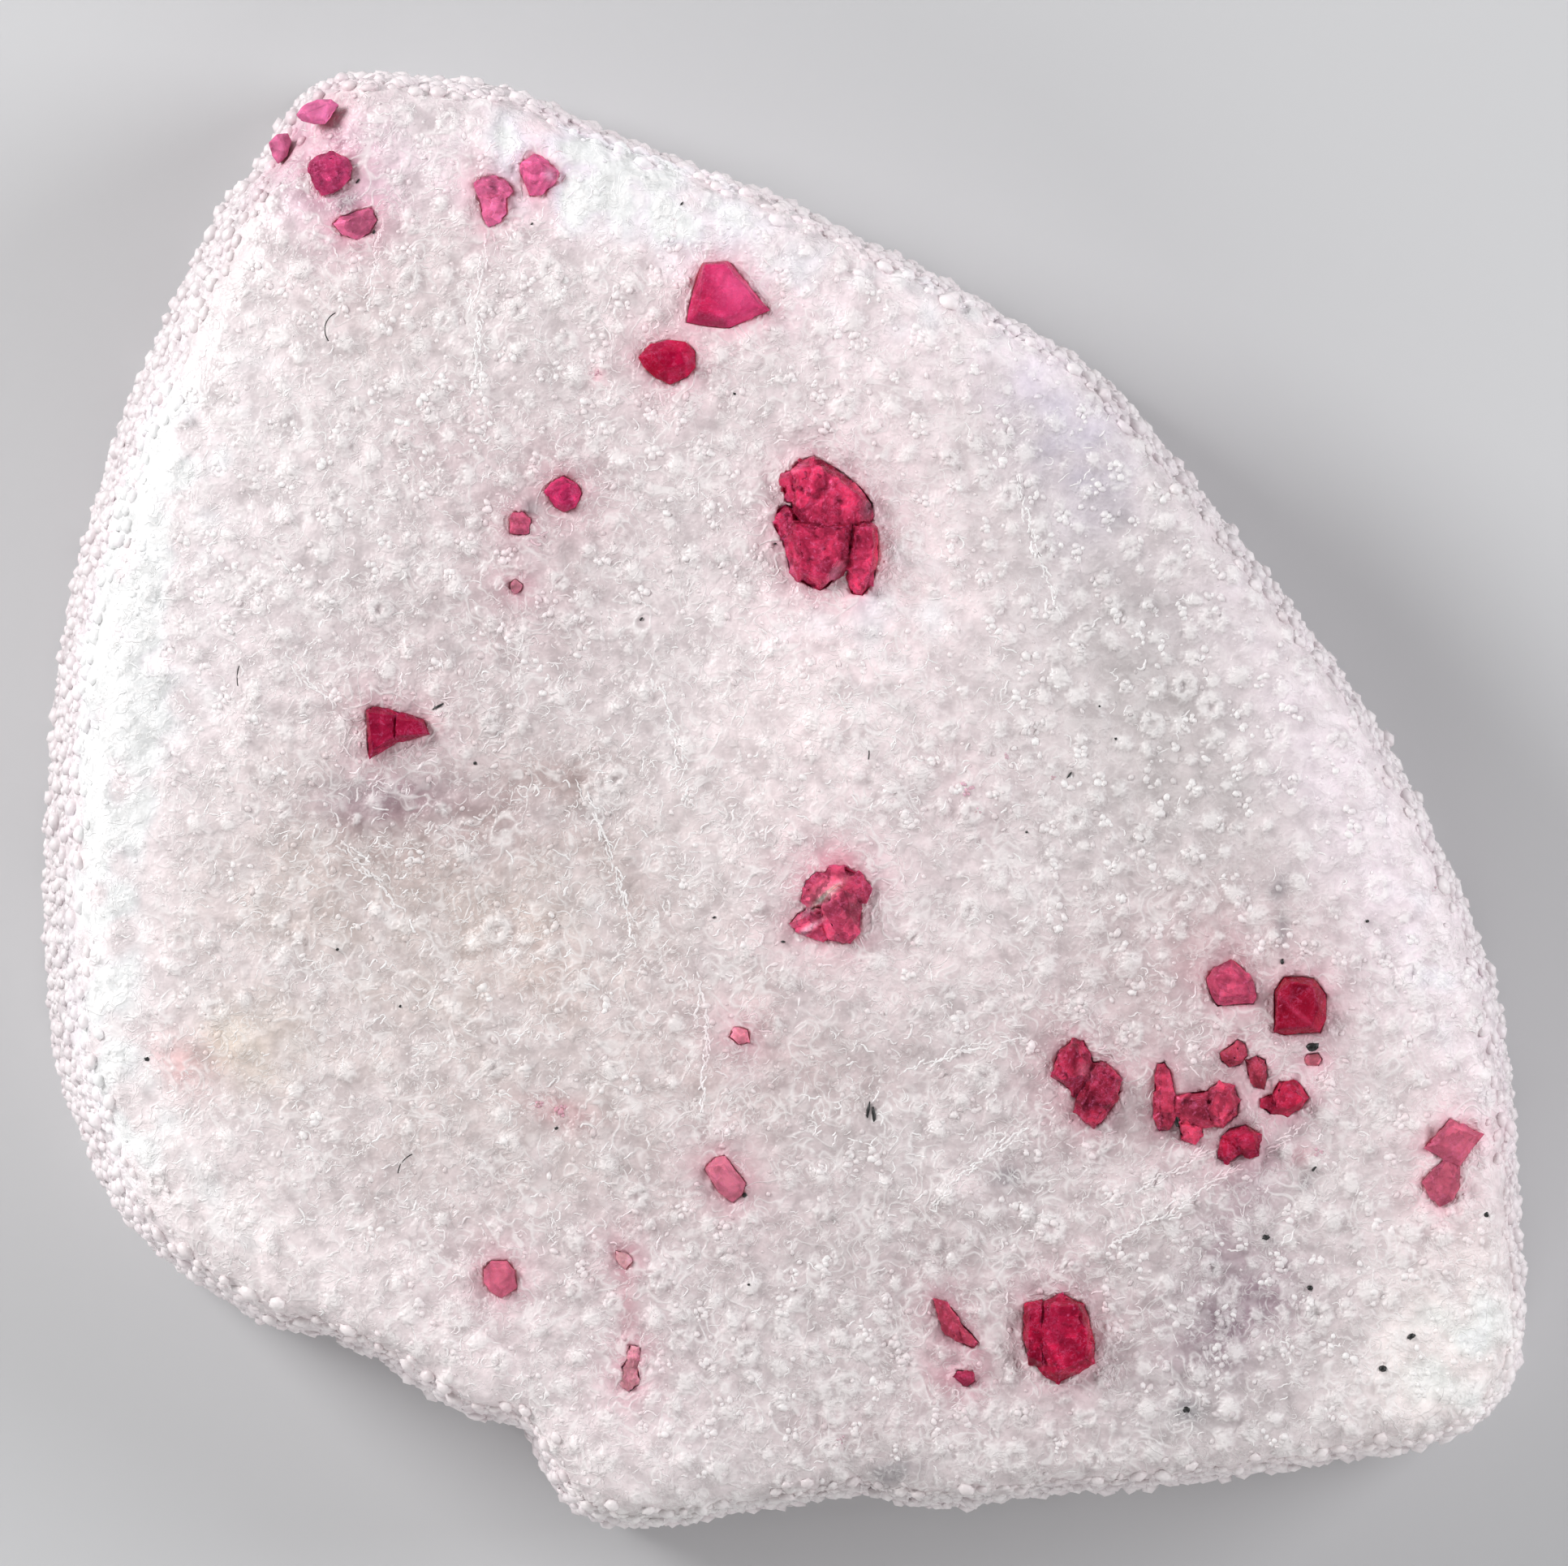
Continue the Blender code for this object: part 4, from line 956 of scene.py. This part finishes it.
class Nodes:
    """Short forms for building the nodes of a material or of the world."""

    def __init__(self, owner, last="Principled BSDF"):
        owner.use_nodes = True
        self.owner = owner
        self.tree = owner.node_tree
        self.last = self.tree.nodes[last]

    def add(self, kind, inputs=None, **settings):
        node = self.tree.nodes.new("ShaderNode" + kind)
        for key, value in settings.items():
            setattr(node, key, value)
        for key, value in (inputs or {}).items():
            self.put(value, node.inputs[key])
        return node

    def put(self, value, socket):
        if isinstance(value, bpy.types.NodeSocket):
            self.tree.links.new(value, socket)
        else:
            socket.default_value = value

    def set(self, **values):
        for key, value in values.items():
            self.put(value, self.last.inputs[key.replace("_", " ")])

    def math(self, operation, *values):
        return self.add("Math", dict(enumerate(values)), operation=operation).outputs[0]

    def times(self, a, b):
        return self.math("MULTIPLY", a, b)

    def larger(self, a, b):
        return self.math("MAXIMUM", a, b)

    def total(self, *parts):
        """The sum of values, each times its weight."""
        out = 0.0
        for value, weight in parts:
            out = self.math("MULTIPLY_ADD", value, weight, out)
        return out

    def from_half(self, value):
        """How far a value is from one half."""
        return self.math("ABSOLUTE", self.math("SUBTRACT", value, 0.5))

    def spread(self, value, low, high, to_low=0.0, to_high=1.0):
        inputs = {"Value": value, "From Min": low, "From Max": high,
                  "To Min": to_low, "To Max": to_high}
        return self.add("MapRange", inputs).outputs["Result"]

    def attribute(self, name, output="Fac"):
        return self.add("Attribute", attribute_name=name).outputs[output]

    def scaled(self, vector, factor):
        inputs = {0: vector, "Scale": factor}
        return self.add("VectorMath", inputs, operation="SCALE").outputs[0]

    def millimetres(self):
        return self.scaled(self.add("TexCoord").outputs["Object"], 1.0 / MM)

    def noise(self, place, size, detail=2.0, roughness=0.5, distortion=0.0):
        inputs = {"Vector": place, "Scale": 1.0 / size, "Detail": detail, "Roughness": roughness,
                  "Distortion": distortion}
        return self.add("TexNoise", inputs).outputs["Fac"]

    def mix(self, share, a, b, blend="MIX"):
        inputs = {"Factor": share, 6: a, 7: b}
        node = self.add("Mix", inputs, data_type="RGBA", blend_type=blend)
        return node.outputs[2]

    def shaded(self, colour, value):
        """A colour times a value."""
        grey = self.add("CombineColor", {0: value, 1: value, 2: value}).outputs[0]
        return self.mix(1.0, colour, grey, "MULTIPLY")

    def bump(self, height, strength, distance):
        inputs = {"Height": height, "Strength": strength, "Distance": distance}
        return self.add("Bump", inputs).outputs[0]


def crests(n, place, size, patch, low):
    """Wavy crest lines in patches, 0 to 1."""
    field = n.noise(place, size, detail=1.0, roughness=0.55, distortion=1.2)
    line = n.spread(n.from_half(field), 0.0, 0.06, 1.0, 0.0)
    return n.times(line, n.spread(n.noise(place, patch, detail=1.0), low, 0.54))


def marble_material():
    n = Nodes(bpy.data.materials.new("etched_marble"))
    place = n.millimetres()
    tone = n.attribute("tone", "Color")
    wrinkled = n.attribute("wrinkled")
    coarse = crests(n, place, 1.5, 2.4, 0.40)
    fine = crests(n, place, 0.6, 1.6, 0.38)
    lines = n.times(n.larger(coarse, n.times(fine, 0.8)), n.spread(wrinkled, 0.0, 1.0, 0.2, 1.0))
    knobs = n.times(n.spread(n.noise(place, 0.85, detail=1.0), 0.56, 0.68), 0.5)
    ragged = n.spread(n.noise(place, 0.3, detail=1.0), 0.25, 0.75, -0.34, 0.34)
    frost = n.spread(n.math("ADD", n.attribute("frost"), ragged), 0.12, 0.85)
    # painted highlight: the crest lines whiten the colour below, over their own white; the knobs
    # and frost add their own white
    white = n.larger(n.larger(lines, n.times(knobs, 0.7)), frost)
    cloud = n.noise(place, 1.2, detail=3.0, roughness=0.65)
    cloudy = n.spread(cloud, 0.34, 0.66, n.spread(wrinkled, 0.0, 1.0, 0.84, 0.76), 1.1)
    bright = n.mix(0.3, (1.0, 0.97, 0.96, 1.0), tone)
    colour = n.mix(n.times(white, 0.78), n.shaded(tone, cloudy), bright)
    sugar = n.noise(place, 0.18, detail=1.0)
    height = n.total((lines, 0.3), (cloud, 1.2), (knobs, 0.9), (frost, 0.6), (sugar, 0.3))
    n.set(Base_Color=colour, Roughness=n.spread(cloud, 0.3, 0.7, 0.26, 0.5),
          Normal=n.bump(height, 0.65, 0.00018), Coat_Weight=0.2, Coat_Roughness=0.28, IOR=1.5)
    return n.owner


def grain_material(name, rough, coat):
    """White grains and ridges: no light lost inside them."""
    n = Nodes(bpy.data.materials.new(name))
    fine = n.noise(n.millimetres(), 0.12)
    n.set(Base_Color=n.attribute("tone", "Color"),
          Roughness=n.spread(fine, 0.3, 0.7, rough, rough + 0.18),
          Normal=n.bump(fine, 0.4, 0.00004), Coat_Weight=coat, Coat_Roughness=0.12, IOR=1.5)
    return n.owner


def graphite_material():
    n = Nodes(bpy.data.materials.new("graphite"))
    fine = n.noise(n.millimetres(), 0.1)
    colour = n.shaded(WHITE, n.spread(fine, 0.3, 0.7, 0.01, 0.045))
    n.set(Base_Color=colour, Roughness=n.spread(fine, 0.3, 0.7, 0.3, 0.5), Metallic=0.3)
    return n.owner


def spinel_material():
    n = Nodes(bpy.data.materials.new("raspberry_spinel"))
    place = n.millimetres()
    tone = n.attribute("tone", "Color")
    broken = n.attribute("broken")
    bent = n.add("TexNoise", {"Vector": place, "Scale": 1.1, "Detail": 3.0})
    inputs = {0: place, 1: n.scaled(bent.outputs["Color"], 2.2)}
    warped = n.add("VectorMath", inputs, operation="ADD").outputs[0]
    cells = n.add("TexVoronoi", {"Vector": warped, "Scale": 1.5})
    cell = n.add("SeparateColor", {0: cells.outputs["Color"]}).outputs[0]
    fine = n.noise(place, 0.2, detail=3.0, distortion=0.6)
    wide = n.noise(place, 1.2, distortion=1.0)
    shade = n.times(n.spread(cell, 0.0, 1.0, 0.6, 1.35), n.spread(wide, 0.32, 0.68, 0.45, 1.4))
    shade = n.times(shade, n.spread(fine, 0.3, 0.7, 0.88, 1.12))
    colour = n.shaded(tone, n.spread(broken, 0.0, 1.0, 1.0, shade))
    pale = n.mix(0.5, tone, (0.96, 0.26, 0.55, 1.0))
    streak = n.from_half(n.noise(place, 0.55, detail=3.0, distortion=2.6))
    streak = n.times(n.spread(streak, 0.0, 0.05, 1.0, 0.0), n.spread(wide, 0.42, 0.58))
    # painted highlight: small pale pink glints; the streaks are the crystal's own pale streaks
    painted_glints = n.spread(n.noise(place, 0.24), 0.60, 0.70)
    light = n.larger(n.times(streak, 0.75), n.times(painted_glints, 0.8))
    colour = n.mix(n.times(light, n.spread(broken, 0.0, 1.0, 0.25, 0.55)), colour, pale)
    bump = n.bump(n.total((fine, 0.7), (cell, 0.4)), 0.8, 0.00012)
    n.set(Base_Color=colour, Roughness=n.spread(fine, 0.3, 0.7, 0.12, 0.32), Normal=bump,
          IOR=1.718, Specular_IOR_Level=0.22, Specular_Tint=(1.0, 0.2, 0.45, 1.0),
          Subsurface_Weight=0.4, Subsurface_Radius=(1.0, 0.25, 0.5), Subsurface_Scale=0.0004)
    return n.owner


# Crystals

EDGE_LENGTH = 0.2
EDGE_ROUNDS = 6
WORN_EDGE = 0.04
FLAT_ANGLE = radians(1.0)
SHARP_ANGLE = radians(14.0)
SHADED_ANGLE = radians(26.0)


def facet_shading_share(normal):
    """A steady chance value for each facet, from its direction, for painted facet shading."""
    return sin(normal.dot(Vector((12.9898, 78.233, 37.719)))) * 437.58 % 1.0


def crystal_tones_and_painted_shade(body, colour):
    """Colour of each point: the crystal's own, with painted facet shading by facet direction and
    painted shade darkening the steep sides.
    """
    out = np.ones((len(body.verts), 4))
    # painted facet shading: each facet direction made brighter or darker
    facets = [facet_shading_share(Vector([round(c, 1) for c in face.normal])) for face in body.faces]
    for index, vert in enumerate(body.verts):
        share = sum(facets[face.index] for face in vert.link_faces) / max(1, len(vert.link_faces))
        # painted shade: steep sides darker, and a deeper red there
        steep = 1.0 - max(0.0, min(1.0, (vert.normal.z - 0.1) / 0.35))
        factor = (0.72 + 0.52 * share) * (1.0 - 0.25 * steep)
        x, y = vert.co.x / MM, vert.co.y / MM
        tone = np.array(colour) * factor
        tone[1:] *= 1.0 - 0.45 * steep
        for mark in CRYSTAL_MARKS:
            strength = float(spot(x, y, mark))
            if strength > 0.02:
                tone *= 1.0 + strength * (np.array(mark[5]) - 1.0)
        out[index, :3] = tone
    return np.clip(out, 0.0, 0.95)


def shard(place, cell, tilt):
    """Height of small broken facets: each has its own tilt about its middle."""
    middle = noise.voronoi(place / cell)[1][0]
    lean = noise.cell_vector(middle * 7.0) - Vector((0.5, 0.5, 0.5))
    return max(-0.3, min(0.3, lean.dot(place / cell - middle) * tilt))


def fine_crystal(name):
    """A bmesh of the crystal on a fine mesh, with its edges a little worn."""
    body = welded(frame["nodes"][name].data)
    body.normal_update()
    bmesh.ops.dissolve_limit(body, angle_limit=FLAT_ANGLE, verts=body.verts, edges=body.edges)
    sharp = [e for e in body.edges if e.calc_face_angle(0.0) > SHARP_ANGLE]
    bmesh.ops.bevel(body, geom=sharp, offset=WORN_EDGE * MM, segments=1, affect="EDGES",
                    clamp_overlap=True)
    bmesh.ops.triangulate(body, faces=body.faces)
    for _ in range(EDGE_ROUNDS):
        long = [e for e in body.edges if e.calc_length() > EDGE_LENGTH * MM]
        if not long:
            break
        bmesh.ops.subdivide_edges(body, edges=long, cuts=1)
        bmesh.ops.triangulate(body, faces=[f for f in body.faces if len(f.verts) > 3])
    body.normal_update()
    body.verts.index_update()
    body.faces.index_update()
    return body


def etching(vert, rough):
    """Height of the broken and etched facets at a point, in millimetres."""
    place = vert.co / MM
    height = noise.noise(place / 0.5) * 0.03 + abs(noise.noise(place / 0.28)) * 0.02
    small = shard(place + Vector((3.0, 1.0, 2.0)), 0.5, rough)
    height += shard(place, 0.9, rough) * 0.6 + small * 0.3
    if vert.normal.z < 0.3:
        height = max(-0.04, min(0.0, height))
    return height - 0.02


def make_crystal(name, material):
    """The crystal with worn edges and with its facets broken and etched."""
    body = fine_crystal(name)
    number = name[-2:]
    values = crystal_tones_and_painted_shade(body, CRYSTAL_COLOURS[int(number) - 1])
    broken = BROKEN.get(number, USUAL_BROKEN)
    moves = [vert.normal * etching(vert, 0.7 * broken ** 1.5) * MM for vert in body.verts]
    for vert, move in zip(body.verts, moves):
        vert.co += move
    mesh = bpy.data.meshes.new(name + "_etched")
    body.to_mesh(mesh)
    body.free()
    store_tones(mesh, values)
    store_numbers(mesh, "broken", np.full(len(values), broken))
    mesh.shade_smooth()
    mesh.set_sharp_from_angle(angle=SHADED_ANGLE)
    mesh.materials.append(material)
    obj = new_object(name + "_etched", mesh)
    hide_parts(name)
    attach(obj, "root")


# Floor, lights and camera

WORLD_SIDE = 0.46
WORLD_TOP = 0.1
AIM = Vector((0.0, 0.0, 0.01))
FACE_LEVEL = 15.0
CAMERA_HEIGHT = 800.0
SENSOR_WIDTH = 36.0


def make_floor():
    bpy.ops.mesh.primitive_plane_add(size=3.0, location=(0.0, 0.0, 0.0))
    floor = bpy.context.object
    floor.name = "floor"
    n = Nodes(bpy.data.materials.new("floor_paint"))
    n.set(Base_Color=(0.6, 0.6, 0.61, 1.0), Roughness=0.8)
    floor.data.materials.append(n.owner)


def area_light(name, place, size, watts, colour=(1.0, 1.0, 1.0)):
    light = bpy.data.lights.new(name, "AREA")
    light.shape = "DISK"
    light.size = size
    light.energy = watts
    light.color = colour
    obj = new_object(name, light)
    obj.location = place
    obj.rotation_euler = (AIM - Vector(place)).to_track_quat("-Z", "Y").to_euler()


def make_lights():
    area_light("key_left", (-0.36, 0.20, 0.24), 0.2, 1.85)
    area_light("fill_right", (0.38, 0.10, 0.22), 0.26, 1.16, (0.97, 0.98, 1.0))
    area_light("fill_front", (0.0, -0.42, 0.26), 0.3, 0.7)
    n = Nodes(bpy.data.worlds.new("studio"), "Background")
    bpy.context.scene.world = n.owner
    place = n.add("TexCoord").outputs["Generated"]
    up = n.add("SeparateXYZ", {0: place}).outputs["Z"]
    n.set(Color=WHITE, Strength=n.spread(up, 0.3, 0.95, WORLD_SIDE, WORLD_TOP))


def make_camera():
    camera = bpy.data.cameras.new("camera")
    obj = new_object("camera", camera)
    middle_x = (PHOTO_SIZE[0] / 2 - ORIGIN_PIXEL[0]) / PIXELS_PER_MM
    middle_y = (ORIGIN_PIXEL[1] - PHOTO_SIZE[1] / 2) / PIXELS_PER_MM
    obj.location = (middle_x * MM, middle_y * MM, CAMERA_HEIGHT * MM)
    camera.sensor_width = SENSOR_WIDTH
    shown_width = PHOTO_SIZE[0] / PIXELS_PER_MM
    camera.lens = SENSOR_WIDTH * (CAMERA_HEIGHT - FACE_LEVEL) / shown_width
    camera.clip_start = 0.01
    camera.clip_end = 10.0
    bpy.context.scene.camera = obj


def main():
    bpy.context.scene.view_settings.view_transform = "Standard"
    make_camera()
    make_floor()
    make_lights()
    ground = make_marble(marble_material())
    sugar = grain_material("white_grains", 0.36, 0.2)
    for grains in (side_grains, outline_grains, rim_clusters, popcorn, specks):
        grains(ground, sugar)
    worms(ground, grain_material("bright_ridges", 0.16, 0.8))
    flakes(ground, graphite_material())
    spinel = spinel_material()
    pink_specks(ground, spinel)
    for name in CRYSTALS:
        make_crystal(name, spinel)


main()
